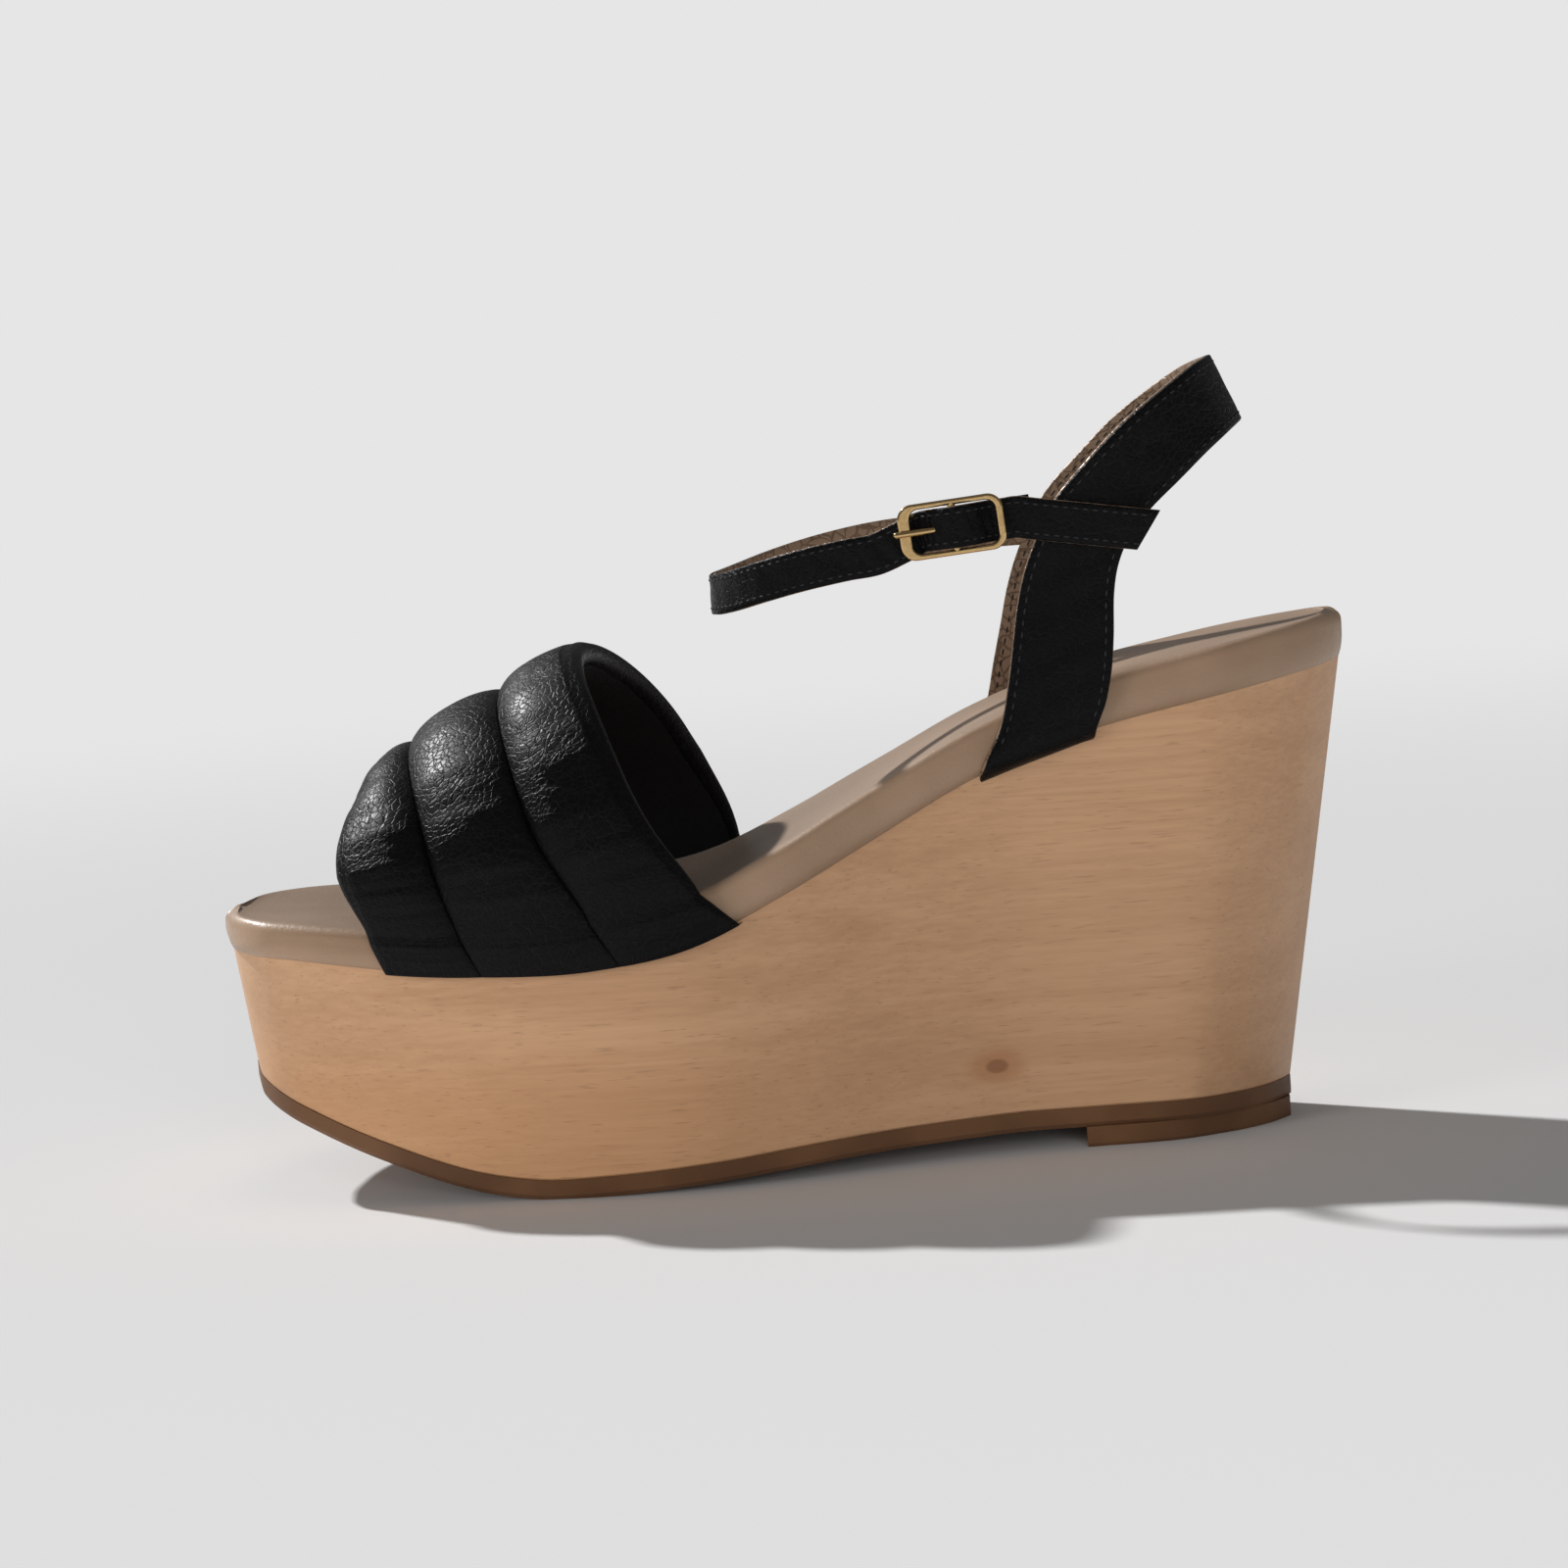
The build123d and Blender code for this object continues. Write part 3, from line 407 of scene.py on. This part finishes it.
rubber = Finish("brown_rubber")
specks = rubber.noise(2600, 3)
smudges = rubber.noise(45, 3)
rubber_look = rubber.set(
    Base_Color=rubber.mix(smudges.ramp(0.35, 0.7), (0.115, 0.052, 0.022, 1), (0.17, 0.082, 0.037, 1)),
    Roughness=smudges * 0.25 + 0.5, Normal=rubber.bump(specks, 0.06),
)
piece(
    "rubber_outsole",
    column_tube(150, lambda u: sole_ring(
        u, lambda x: underside.at(x) + OUTSOLE_THICKNESS + 0.02, underside.at, flare=0.12, edge=1.0,
        flush=True)),
    "sole", rubber_look, 40, ["outsole"],
)


def lift_ring(u):
    """Section of the heel lift, from its straight front face back to the heel."""
    low_x = LIFT_FRONT + end_eased(u / 2 + 0.5) * 2 * LIFT_LENGTH - LIFT_LENGTH
    x = low_x + HEEL_RAKE * clamp((low_x - 15.0) / HEEL_RAKE_REACH * 1.23)
    half = (inner_side.at(x) - outer_side.at(x)) / 2 - WOOD_REVEAL
    half = max(half * 0.94, 0.8) + 0.1
    middle = (inner_side.at(x) + outer_side.at(x)) / 2
    low, top = 0.0, ARCH_LIFT + 0.05
    edge = min(LIFT_EDGE, half / 2)
    corners = [
        Vector((low_x, middle + half, top)), Vector((low_x, middle + half, low + edge)),
        Vector((low_x, middle + half - edge, low)), Vector((low_x, middle - half + edge, low)),
        Vector((low_x, middle - half, low + edge)), Vector((low_x, middle - half, top)),
    ]
    return closed_run(corners, (3, 2, 6, 2, 3, 6))


piece("rubber_heel_lift", column_tube(60, lift_ring), "sole", rubber_look, 40, ["heel_lift"])

# --- footbed -----------------------------------------------------------------------------------------------
# A padded insole: fibre board and soft foam inside a taupe leather cover that is turned under at the
# edges. The top is slightly dished, its edge is a firm rounded ridge, and the sides bulge a little.
BED_TOE_THICKNESS = 6.9
BED_HEEL_THICKNESS = 9.8
RIDGE_RADIUS = 2.8
SIDE_BULGE = 0.45
SIDE_START = 0.35          # height of the small turn at the foot of the sides
SOLE_TURN = 0.9            # how far the cover is drawn in where it meets the wood
END_REACH = 9.0            # how far from toe and heel the edge leans in


def bed_thickness(x):
    share = clamp((x - TOE_X) / (0.55 * FOOTBED_LENGTH))
    return BED_TOE_THICKNESS + (BED_HEEL_THICKNESS - BED_TOE_THICKNESS) * share


def bed_top(x):
    return seam.at(x) + bed_thickness(x)


def bed_ring(u):
    x = TOE_X + end_eased(u) * FOOTBED_LENGTH
    half = (inner_side.at(x) - outer_side.at(x)) / 2
    middle = (inner_side.at(x) + outer_side.at(x)) / 2
    thick = bed_thickness(x)
    low = seam.at(x)
    r = min(RIDGE_RADIUS, half * 0.6)
    dish = 0.6 * clamp(half / 20.0)
    end = math.copysign(clamp(1 - min(x - TOE_X, HEEL_X - x) / END_REACH) ** 2, -x)
    foot = half - SOLE_TURN
    sides = []
    for side in (1, -1):
        profile = [(foot, 0.0), (half - SIDE_START, SIDE_START)]
        for i in range(1, 6):
            share = i / 6
            out = half + SIDE_BULGE * math.sin(math.pi * share)
            profile.append((out, SIDE_START + (thick - r - SIDE_START) * share))
        for i in range(7):
            turn = math.radians(15 * i)
            profile.append((half - r * (1 - math.cos(turn)), thick - r + r * math.sin(turn)))
        for i in range(1, 9):
            share = i / 8
            across = (half - r) * (1 - share)
            profile.append((across, thick - dish * (1 - (across / max(half - r, 0.1)) ** 2)))
        sides.append([(side * y, z) for y, z in profile])
    ring = sides[0] + sides[1][-2::-1]
    ring += [(-foot * (1 - i / 4) + foot * (i / 4), 0.0) for i in range(1, 4)]
    points = []
    for y, z in ring:
        over = clamp((z - thick + r) / r, 0, 0.98)
        inward = SOLE_TURN * clamp(1 - z / (thick - r)) ** 3 + 1.3 * r * (1 - math.sqrt(1 - over ** 2))
        points.append(Vector((x + end * inward, middle + y, low + z)))
    return points


taupe = Finish("taupe_leather")
taupe_pits = taupe.cells(1500, "F1", taupe.warped(300, 0.0015))
taupe_creases = taupe.noise(1.0, 4, taupe.stretched((500, 500, 60)), 0.6)
taupe_clouds = taupe.noise(30, 3)
split = taupe.node("ShaderNodeSeparateXYZ", None, [taupe.coords])
heel_wrinkles = Value(taupe, split.outputs["X"]).ramp(0.02, 0.09)
taupe_look = taupe.set(
    Base_Color=taupe.mix(taupe_clouds.ramp(0.3, 0.75), (0.31, 0.200, 0.125, 1), (0.39, 0.258, 0.168, 1)),
    Roughness=taupe_pits * 0.22 + 0.30, Sheen_Weight=0.08,
    Normal=taupe.bump(taupe_pits * 0.35 + taupe_creases * heel_wrinkles * 0.8, 0.10),
)
footbed = piece(
    "footbed_leather", column_tube(150, bed_ring), "sole", taupe_look, 70,
    ["footbed_cover", "footbed_foam", "insole_board"],
)

# --- toe strap ---------------------------------------------------------------------------------------------
# Soft black pebbled leather over three foam-filled channels, sewn down between them to a black leather
# lining and turned over it at both edges. Its ends are tucked between the footbed and the wood.
TOE_STRAP_LINES = (   # front edge, two seams and rear edge: distances from the toe tip at seven places
    (40.5, 35.6, 32.0, 35.0, 33.0, 37.0, 41.0),
    (62.0, 52.5, 47.5, 43.0, 50.0, 54.0, 57.0),
    (90.0, 78.5, 67.5, 61.5, 72.0, 78.0, 81.0),
    (117.0, 98.5, 84.5, 76.0, 91.0, 101.5, 106.0),
)
TOE_STRAP_RISE = (21.2, 30.2, 39.8, 46.6)
CHANNEL_CROWN = 6.9
SEAM_DEPTH = 3.4
EDGE_DEPTH = 5.4
LINING_THICKNESS = 0.75
TUCK_DEPTH = 5.0           # how far the ends are turned in between footbed and wood
FLANK_SHARE = 0.86         # share of a flank that hangs down before that turn
BELOW_EDGE = 0.52          # how far along the flank lines the wood's edge lies
strap_lines = [Graph([(k - 1, TOE_X + d) for k, d in enumerate(line)]) for line in TOE_STRAP_LINES]
strap_turn = Graph([(0, 0), (1, 30), (2, 90), (3, 150), (4, 180)])
strap_rise = Graph([(k, rise) for k, rise in enumerate(TOE_STRAP_RISE)])


def arch_base(a, v):
    """Point of the toe strap's lining: a runs over the foot from -1 to 5, v from front 0 to rear 3."""
    held = a * BELOW_EDGE if a < 0 else 4 + (a - 4) * BELOW_EDGE if a > 4 else a
    x = Graph([(k, g.at(held)) for k, g in enumerate(strap_lines)]).at(v)
    down = -a if a < 0 else max(a - 4, 0.0)
    turn = math.radians(clamp(strap_turn.at(a), 0, 180))
    height = math.sin(turn) ** 0.87
    across = math.copysign(abs(math.cos(turn)) ** 0.87, math.cos(turn))
    side = -outer_side.at(x) if across > 0 else inner_side.at(x)
    tuck = TUCK_DEPTH * clamp((down - FLANK_SHARE) / (1 - FLANK_SHARE))
    z = bed_top(x) + height * strap_rise.at(v) - clamp(down / FLANK_SHARE) * (bed_top(x) - seam.at(x) + 0.5)
    return Vector((x, -(side + 0.5) * across + math.copysign(tuck, across), z))


def arch_out(a, v):
    e = 0.04
    p = clamp(a, -0.8, 4.8)
    across = arch_base(p + e, v) - arch_base(p - e, v)
    back = arch_base(p, v + e) - arch_base(p, v - e)
    outward = across.cross(back).normalized()
    if outward.dot(Vector((0, arch_base(p, v).y, 30))) < 0:
        outward = -outward
    upright = clamp(min(p, 4 - p) / 0.4)
    return Vector((outward.x, outward.y, outward.z * upright)).normalized()


def pinched(a):
    """Padding is thinner where the strap goes down past the footbed's edge."""
    inside = clamp(min(a, 4 - a) / 0.8)
    tucked = clamp(min(a + 1, 5 - a) / 0.75)
    return (0.5 + 0.5 * inside) * (0.22 + 0.78 * tucked ** 0.7)


def strap_skin(a, v):
    """Height of the leather over the lining: three crowns, pulled down at the seams, folded at the edges."""
    k = clamp(math.floor(v), 0, 2)
    f = v - k
    low_left = EDGE_DEPTH if k == 0 else SEAM_DEPTH
    low_right = EDGE_DEPTH if k == 2 else SEAM_DEPTH
    low = low_left + (low_right - low_left) * f
    bow = math.sin(math.pi * clamp(f)) ** 0.5
    wave = math.sin(a * 19 + k * 2.1) * 0.16 + math.sin(a * 43 + k * 1.3) * 0.09
    pucker = 0.14 * math.sin(a * 88 + 3 * k) * math.exp(-(min(f, 1 - f) / 0.13) ** 2) * bow
    return (low + (CHANNEL_CROWN + wave - low) * bow + pucker) * pinched(a)


EVEN = 22
shares = [0, 0.004, 0.015, 0.035, 0.065] + [0.1 + 0.8 * i / (EVEN - 1) for i in range(EVEN)]
shares += [0.935, 0.965, 0.985, 0.996]
ACROSS = [k + f for k in range(3) for f in shares] + [3.0]


def toe_leather_ring(u):
    a = -1 + 6 * u
    outside = [arch_base(a, v) + arch_out(a, v) * strap_skin(a, v) for v in ACROSS]
    under = [arch_base(a, v) + arch_out(a, v) * LINING_THICKNESS for v in (2.97, 2.7, 2.0, 1.0, 0.3, 0.03)]
    edges = []
    for v, beyond in ((3.0, 1), (0.0, -1)):
        out = arch_out(a, v)
        along = (arch_base(a, v) - arch_base(a, v - 0.05 * beyond)).normalized()
        height = EDGE_DEPTH * pinched(a)
        middle = arch_base(a, v) + out * (height * 0.5)
        turned_edge = []
        for i in range(1, 6):
            turn = math.radians(30 * i)
            turned_edge.append(
                middle + out * (math.cos(turn) * height * 0.5) + along * (math.sin(turn) * height * 0.55)
            )
        edges.append(turned_edge)
    return outside + edges[0] + under + edges[1][::-1]


def toe_lining_ring(u):
    a = -0.96 + 5.92 * u
    spots = [0.02 + 2.96 * i / 30 for i in range(31)]
    low = [arch_base(a, v) for v in spots]
    high = [arch_base(a, v) + arch_out(a, v) * LINING_THICKNESS for v in spots]
    return high + low[::-1]


pebbled = Finish("black_pebbled_leather")
warped = pebbled.warped(90, 0.004)
pebbles = pebbled.cells(780, "DISTANCE_TO_EDGE", warped)
large_pebbles = pebbled.cells(360, "DISTANCE_TO_EDGE", pebbled.warped(70, 0.006))
fine_grain = pebbled.noise(3200, 2)
patches = pebbled.noise(60, 3).ramp(0.35, 0.65)
# Creases in patches and the fine lines between pebbles. The creases sink in the relief, and both are painted
# lighter in the colour below as a painted highlight, as if they caught the light.
crease_and_painted_highlight = (1 - large_pebbles.ramp(0.0, 0.09)) * patches
painted_highlight_lines = 1 - pebbles.ramp(0.0, 0.05)
grain_height = pebbles.ramp(0.0, 0.13) * 0.6 + fine_grain * 0.08 - crease_and_painted_highlight * 0.8
pebbled_look = pebbled.set(
    # Near-black colour, painted lighter along the creases and pebble edges: a painted highlight.
    Base_Color=pebbled.mix(
        crease_and_painted_highlight * 0.25 + painted_highlight_lines * 0.5, (0.003, 0.003, 0.0034, 1), (0.012, 0.012, 0.0135, 1)),
    Roughness=0.47 - pebbles.ramp(0.0, 0.2) * 0.10 + patches * 0.05, Specular_IOR_Level=0.13,
    Normal=pebbled.bump(grain_height, 0.10),
)
toe_leather = piece(
    "toe_strap_leather", column_tube(170, toe_leather_ring), "sole", pebbled_look, 75,
    ["toe_strap_outer", "toe_strap_padding_front", "toe_strap_padding_middle", "toe_strap_padding_rear"],
)

smooth_black = Finish("black_lining_leather")
lining_grain = smooth_black.cells(1300, "F1", smooth_black.warped(200, 0.002))
lining_look = smooth_black.set(
    Base_Color=smooth_black.mix(
        smooth_black.noise(70), (0.003, 0.003, 0.0034, 1), (0.007, 0.007, 0.0075, 1)),
    Specular_IOR_Level=0.3, Roughness=lining_grain * 0.2 + 0.5, Normal=smooth_black.bump(lining_grain, 0.08),
)
piece(
    "toe_strap_lining_leather", column_tube(120, toe_lining_ring), "sole", lining_look, 60,
    ["toe_strap_lining"],
)

# --- back strap --------------------------------------------------------------------------------------------
# A wide band of the same black leather that rises from both sides of the footbed and leans back round the
# heel. It is sewn to a taupe lining with a dark thread close to both cut edges, over a nylon stay.
BACK_STRAP_EDGES = (   # heel edge, then toe edge: forward of the footbed's back, height above the wood there
    ((53.5, -22.0), (77.0, -26.0)),
    ((52.6, -14.5), (75.5, -19.5)),
    ((51.6, -9.8), (73.5, -14.0)),
    ((49.2, -4.4), (69.8, -7.2)),
    ((47.5, 2.1), (67.7, 1.1)),
    ((46.6, 9.1), (66.3, 8.6)),
    ((46.0, 17.1), (64.7, 17.1)),
    ((44.7, 23.1), (62.2, 25.1)),
    ((42.0, 28.6), (57.0, 35.5)),
    ((37.8, 33.4), (50.0, 43.2)),
    ((32.0, 38.4), (42.5, 50.2)),
    ((26.6, 43.0), (34.8, 55.8)),
    ((22.0, 46.4), (28.4, 59.9)),
)
BACK_STRAP_BACK = ((19.0, 48.2), (24.6, 61.5))
HEEL_CENTRE_Y = 3.7
BACK_STRAP_HALF = 28.4
INNER_LEG_FORWARD = 2.6


def back_corner(index, edge, side):
    forward, climb = BACK_STRAP_EDGES[index][edge]
    if side > 0:
        forward += INNER_LEG_FORWARD * clamp((9 - index) / 5)
    x = HEEL_X - forward
    z = HEEL_HEIGHT + climb
    share = clamp((x - 60.0) / (55.0 - BACK_STRAP_BACK[edge][0]))
    y = BACK_STRAP_HALF * math.sqrt(1 - share ** 2)
    rest = (-outer_side.at(x) + HEEL_CENTRE_Y) if side < 0 else (inner_side.at(x) - HEEL_CENTRE_Y)
    free = clamp((z - bed_top(x)) / 25.0)
    free = free * free * (3 - 2 * free)
    tucked = clamp((seam.at(x) + 0.4 - z) / 4.0)
    y = rest + 0.75 + (y - rest - 0.75) * free - 4.0 * tucked
    z = max(z, seam.at(x) + 0.3)
    return Vector((x, HEEL_CENTRE_Y + side * y, z))


def smooth_path(points):
    """Reads a smooth path through points by a share from 0 to 1."""
    graphs = [Graph([(i, p[k]) for i, p in enumerate(points)]) for k in range(3)]
    return lambda u: Vector([g.at(u * (len(points) - 1)) for g in graphs])


last = len(BACK_STRAP_EDGES)
back_edges = []
for edge in (0, 1):
    outer_leg = [back_corner(i, edge, -1) for i in range(last)]
    forward, climb = BACK_STRAP_BACK[edge]
    at_back = Vector((HEEL_X - forward, HEEL_CENTRE_Y, HEEL_HEIGHT + climb))
    inner_leg = [back_corner(i, edge, 1) for i in range(last)]
    back_edges.append(smooth_path(outer_leg + [at_back] + inner_leg[::-1]))


def strip_frame(low_edge, high_edge, u):
    """Both edge points of a strip and its outward normal, at share u of its length."""
    e = 0.004
    a, b = low_edge(u), high_edge(u)
    before = low_edge(max(u - e, 0)).lerp(high_edge(max(u - e, 0)), 0.5)
    after = low_edge(min(u + e, 1)).lerp(high_edge(min(u + e, 1)), 0.5)
    return a, b, (after - before).cross(b - a).normalized()


def strip_ring(low_edge, high_edge, inner, outer, across=8, trim=0.0, ripple=None):
    """Ring function of a strip of leather between two distances outside its edges' surface."""
    def ring_at(u):
        a, b, out = strip_frame(low_edge, high_edge, u)
        wide = (b - a).normalized()
        a = a + wide * trim
        b = b - wide * trim
        soft = min(0.22, (outer - inner) * 0.35)
        top = []
        for i in range(across + 1):
            share = i / across
            lift = outer + (ripple(u, share) if ripple else 0.0)
            top.append(a.lerp(b, share) + out * lift)
        top[0] = a + wide * soft + out * outer
        top[-1] = b - wide * soft + out * outer
        side_b = [b + out * (outer - soft), b + out * (inner + soft)]
        side_a = [a + out * (inner + soft), a + out * (outer - soft)]
        under = [a.lerp(b, i / 4) + out * inner for i in range(4, -1, -1)]
        under[0] = b - wide * soft + out * inner
        under[-1] = a + wide * soft + out * inner
        return top + side_b + under + side_a
    return ring_at


STITCH_SEARCH = 1200       # steps along an edge in which the next stitch is looked for


def stitches(name, rows, pitch, body, material, lifts, ends):
    """Short sewn stitches along rows of (edge, other edge, distance in from edge), each at its lift over
    the edges' surface; a negative lift is for a row whose edges run the other way."""
    bm = bmesh.new()
    for (edge, other, inset), lift in zip(rows, lifts):
        travelled = 0.0
        spot = edge(ends[0])
        for i in range(1, STITCH_SEARCH):
            u = ends[0] + (ends[1] - ends[0]) * i / STITCH_SEARCH
            point = edge(u)
            travelled += (point - spot).length
            spot = point
            if travelled < pitch:
                continue
            travelled = 0.0
            a, b, out = strip_frame(edge, other, u)
            if lift < 0:
                out = -out
            along = (edge(min(u + 0.002, 1)) - edge(max(u - 0.002, 0))).normalized()
            across = out.cross(along).normalized()
            centre = a + (b - a).normalized() * inset + out * abs(lift)
            turn = Matrix((along, across, out)).transposed().to_4x4()
            size = Matrix.Diagonal((pitch * 0.36, 0.2, 0.17, 1))
            place = Matrix.Translation(centre * MM) @ turn @ Matrix.Diagonal((MM, MM, MM, 1)) @ size
            bmesh.ops.create_icosphere(bm, subdivisions=1, radius=1.0, matrix=place)
    bmesh.ops.recalc_face_normals(bm, faces=bm.faces)
    return piece(name, bm, body, material, 180, ())


def soft_ripple(u, share):
    return 0.05 * math.sin(u * 150 + share * 5) + 0.04 * math.sin(u * 61 + share * 11)


bronze = Finish("taupe_lining_leather")
# Cell-shaped creases: they sink in the relief, and the colour is painted darker along them as painted shade.
creases_and_painted_shade = bronze.cells(420, "DISTANCE_TO_EDGE", bronze.warped(130, 0.006)).ramp(0.0, 0.12)
bronze_grain = bronze.noise(2400, 3)
bronze_look = bronze.set(
    Base_Color=bronze.mix(creases_and_painted_shade, (0.15, 0.095, 0.06, 1), (0.29, 0.195, 0.13, 1)),
    Roughness=bronze_grain * 0.2 + 0.32, Metallic=0.25,
    Normal=bronze.bump(creases_and_painted_shade * 0.6 + bronze_grain * 0.25, 0.14),
)
thread = Finish("dark_thread")
twist = thread.noise(5200, 2)
thread_look = thread.set(
    Base_Color=thread.mix(twist, (0.012, 0.012, 0.014, 1), (0.035, 0.035, 0.04, 1)),
    Roughness=twist * 0.2 + 0.55, Normal=thread.bump(twist, 0.05),
)
toe_edge, heel_edge = back_edges[1], back_edges[0]
piece(
    "back_strap_leather", column_tube(260, strip_ring(heel_edge, toe_edge, 0.95, 1.9, 10, 0.0, soft_ripple)),
    "sole", pebbled_look, 50, ["back_strap_outer"],
)
piece(
    "back_strap_lining_leather", column_tube(260, strip_ring(heel_edge, toe_edge, 0.0, 0.9, 8, -0.12)),
    "sole", bronze_look, 50, ["back_strap_lining", "back_strap_stay"],
)
stitches(
    "back_strap_stitches",
    [(heel_edge, toe_edge, 1.5), (toe_edge, heel_edge, 1.5), (heel_edge, toe_edge, 1.5),
     (toe_edge, heel_edge, 1.5)],
    2.3, "sole", thread_look, [1.92, -1.92, -0.02, 0.02], (0.09, 0.91),
)

# --- ankle strap and its free end --------------------------------------------------------------------------
# An 8 mm strap of black leather sewn to a taupe lining. It runs from the inner leg of the back strap
# round the front of the ankle, up through the buckle over its bar, and on to a slanted free end.
BAR_X = 38.8
BUCKLE_BAR_HEIGHT = 125.6
WINDOW = 8.45
DIP = 2.242
CREST = 2.55
BACK_STRAP_THICKNESS = 1.9
STRAP_THICKNESS = 1.4
TAIL_OUT = BACK_STRAP_HALF + BACK_STRAP_THICKNESS + 0.4 + STRAP_THICKNESS / 2
FRAME_OUT = TAIL_OUT + DIP
ANKLE_LOOP_DROP = (
    (-14.0, 3.4), (-4.0, 3.5), (6.0, 3.9), (13.8, 4.3), (21.8, 5.2), (31.4, 6.9), (40.8, 9.2),
    (46.3, 10.8), (50.0, 11.6), (53.0, 12.2),
)
TILT = math.radians(4.5)
loop_drop = Graph(ANKLE_LOOP_DROP)


def loop_point(forward, side):
    share = clamp((forward - 13.8) / 36.2)
    out = TAIL_OUT if side < 0 else BACK_STRAP_HALF + BACK_STRAP_THICKNESS / 2
    y = HEEL_CENTRE_Y + side * out * math.sqrt(1 - share ** 2)
    return Vector((BAR_X - forward, y, BUCKLE_BAR_HEIGHT - loop_drop.at(forward)))


def threaded_point(u):
    share = clamp(abs(u) / (WINDOW - 0.4))
    rise = math.cos(share * math.pi / 2) ** 2
    sag = clamp((-u - 0.65 * WINDOW) / 6.0)
    across = -1.9 * sag ** 1.3
    outward = -DIP + (DIP + CREST) * rise
    return Vector((
        BAR_X + u * math.cos(TILT) - across * math.sin(TILT), HEEL_CENTRE_Y - FRAME_OUT - outward,
        BUCKLE_BAR_HEIGHT + u * math.sin(TILT) + across * math.cos(TILT),
    ))


ankle_points = [loop_point(f, 1) for f in (-15.2, -4.0, 6.0, 14.0, 22.0, 31.0, 39.0, 44.5, 48.0, 49.6)]
ankle_points += [loop_point(f, -1) for f in (49.6, 48.0, 44.5, 39.0, 31.0, 22.0, 16.0)]
ankle_points += [threaded_point(s * WINDOW) for s in (
    -1.32, -1.08, -0.88, -0.72, -0.55, -0.38, -0.2, 0.0, 0.2, 0.38, 0.55, 0.72, 0.88, 1.05, 1.25, 1.45)]
tail_start = ankle_points[-1]
TAIL_FALL = Vector((27.3, 0, -4.65))
ankle_points += [tail_start + TAIL_FALL * share for share in (0.12, 0.3, 0.5, 0.7, 0.88, 1.0)]
strap_middle = smooth_path(ankle_points)
STRAP_HALF_WIDTH = 4.0


def strap_edge(sign):
    def read(u):
        e = 0.002
        along = (strap_middle(min(u + e, 1)) - strap_middle(max(u - e, 0))).normalized()
        up = (Vector((0, 0, 1)) - along * along.z).normalized()
        edge_point = strap_middle(u) + up * (sign * STRAP_HALF_WIDTH)
        if sign < 0:
            edge_point -= along * (3.6 * clamp((u - 0.94) / 0.06) ** 2)
        return edge_point
    return read


low_strap_edge, high_strap_edge = strap_edge(-1), strap_edge(1)


def strap_ripple(u, share):
    front = math.exp(-((u - 0.44) / 0.12) ** 2)
    return 0.16 * front * math.sin(u * 330 + share * 3) * math.sin(share * math.pi) + soft_ripple(u, share)


UNDER_BUCKLE = 18 / 38     # share of the strap's path at the buckle's front bar, which hides the division
leather_ring = strip_ring(low_strap_edge, high_strap_edge, -0.1, 0.7, 8, 0.0, strap_ripple)
strap_lining_ring = strip_ring(low_strap_edge, high_strap_edge, -0.7, -0.15, 4, -0.1)
thread_rows = [(low_strap_edge, high_strap_edge, 1.15), (high_strap_edge, low_strap_edge, 1.15)]


def strap_run(ring_at, start, end, columns):
    return column_tube(columns, lambda u: ring_at(start + (end - start) * u))


piece("ankle_strap_leather", strap_run(leather_ring, 0, UNDER_BUCKLE, 210), "ankle_strap", pebbled_look, 50,
      ["ankle_strap_outer"])
piece("ankle_strap_lining_leather", strap_run(strap_lining_ring, 0, UNDER_BUCKLE, 210), "ankle_strap",
      bronze_look, 50, ["ankle_strap_lining"])
stitches("ankle_strap_stitches", thread_rows, 1.9, "ankle_strap", thread_look, [0.72, -0.72],
         (0.01, UNDER_BUCKLE))
free_end_pieces = [
    piece("strap_free_end_leather", strap_run(leather_ring, UNDER_BUCKLE, 1, 230), None, pebbled_look, 50,
          ["strap_tail_outer"]),
    piece("strap_free_end_lining_leather", strap_run(strap_lining_ring, UNDER_BUCKLE, 1, 230), None,
          bronze_look, 50, ["strap_tail_lining"]),
    stitches("strap_free_end_stitches", thread_rows, 1.9, None, thread_look, [0.72, -0.72],
             (UNDER_BUCKLE, 0.985)),
]
for strap_piece in free_end_pieces:
    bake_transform(strap_piece)

# --- buckle ------------------------------------------------------------------------------------------------
# A small cast frame with a centre bar and a round prong, plated and polished light gold. A folded leather
# tab holds the bar to the back strap.
gold = Finish("light_gold_plating")
cast = gold.noise(420, 3)
worn = gold.noise(900, 2, gold.stretched((1, 1, 3)))
gold_look = gold.set(
    Base_Color=gold.mix(cast, (0.62, 0.40, 0.17, 1), (0.78, 0.55, 0.27, 1)), Metallic=1.0,
    Roughness=worn * 0.16 + 0.14, Normal=gold.bump(cast, 0.03),
)
for node in ("buckle_frame", "buckle_bar", "buckle_prong", "buckle_tab"):
    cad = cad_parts[node]
    cad.data.materials.clear()
    cad.data.materials.append(pebbled_look if node == "buckle_tab" else gold_look)

# --- paper floor -------------------------------------------------------------------------------------------
# Seamless pale paper, lit by the key near the shoe and evenly bright further out, as a studio floor is.
PAPER_SHADE = (0.80, 0.80, 0.80, 1)
FLOOR_RADIUS = 90

bm = bmesh.new()
bmesh.ops.create_circle(bm, cap_ends=True, segments=96, radius=FLOOR_RADIUS)
paper = Finish("pale_paper")
distance = paper.node("ShaderNodeVectorMath", {"operation": "LENGTH"}, [paper.coords])
far_out = Value(paper, distance.outputs["Value"]).ramp(0.35, 1.3)
paper_look = paper.set(
    Base_Color=paper.mix(far_out, PAPER_SHADE, (0.0, 0.0, 0.0, 1)), Roughness=0.9, Specular_IOR_Level=0.0,
    Emission_Color=paper.mix(far_out, (0, 0, 0, 1), (*[PAPER_GLOW] * 3, 1)), Emission_Strength=1.0,
)
floor = piece("paper_floor", bm, None, paper_look, 180)
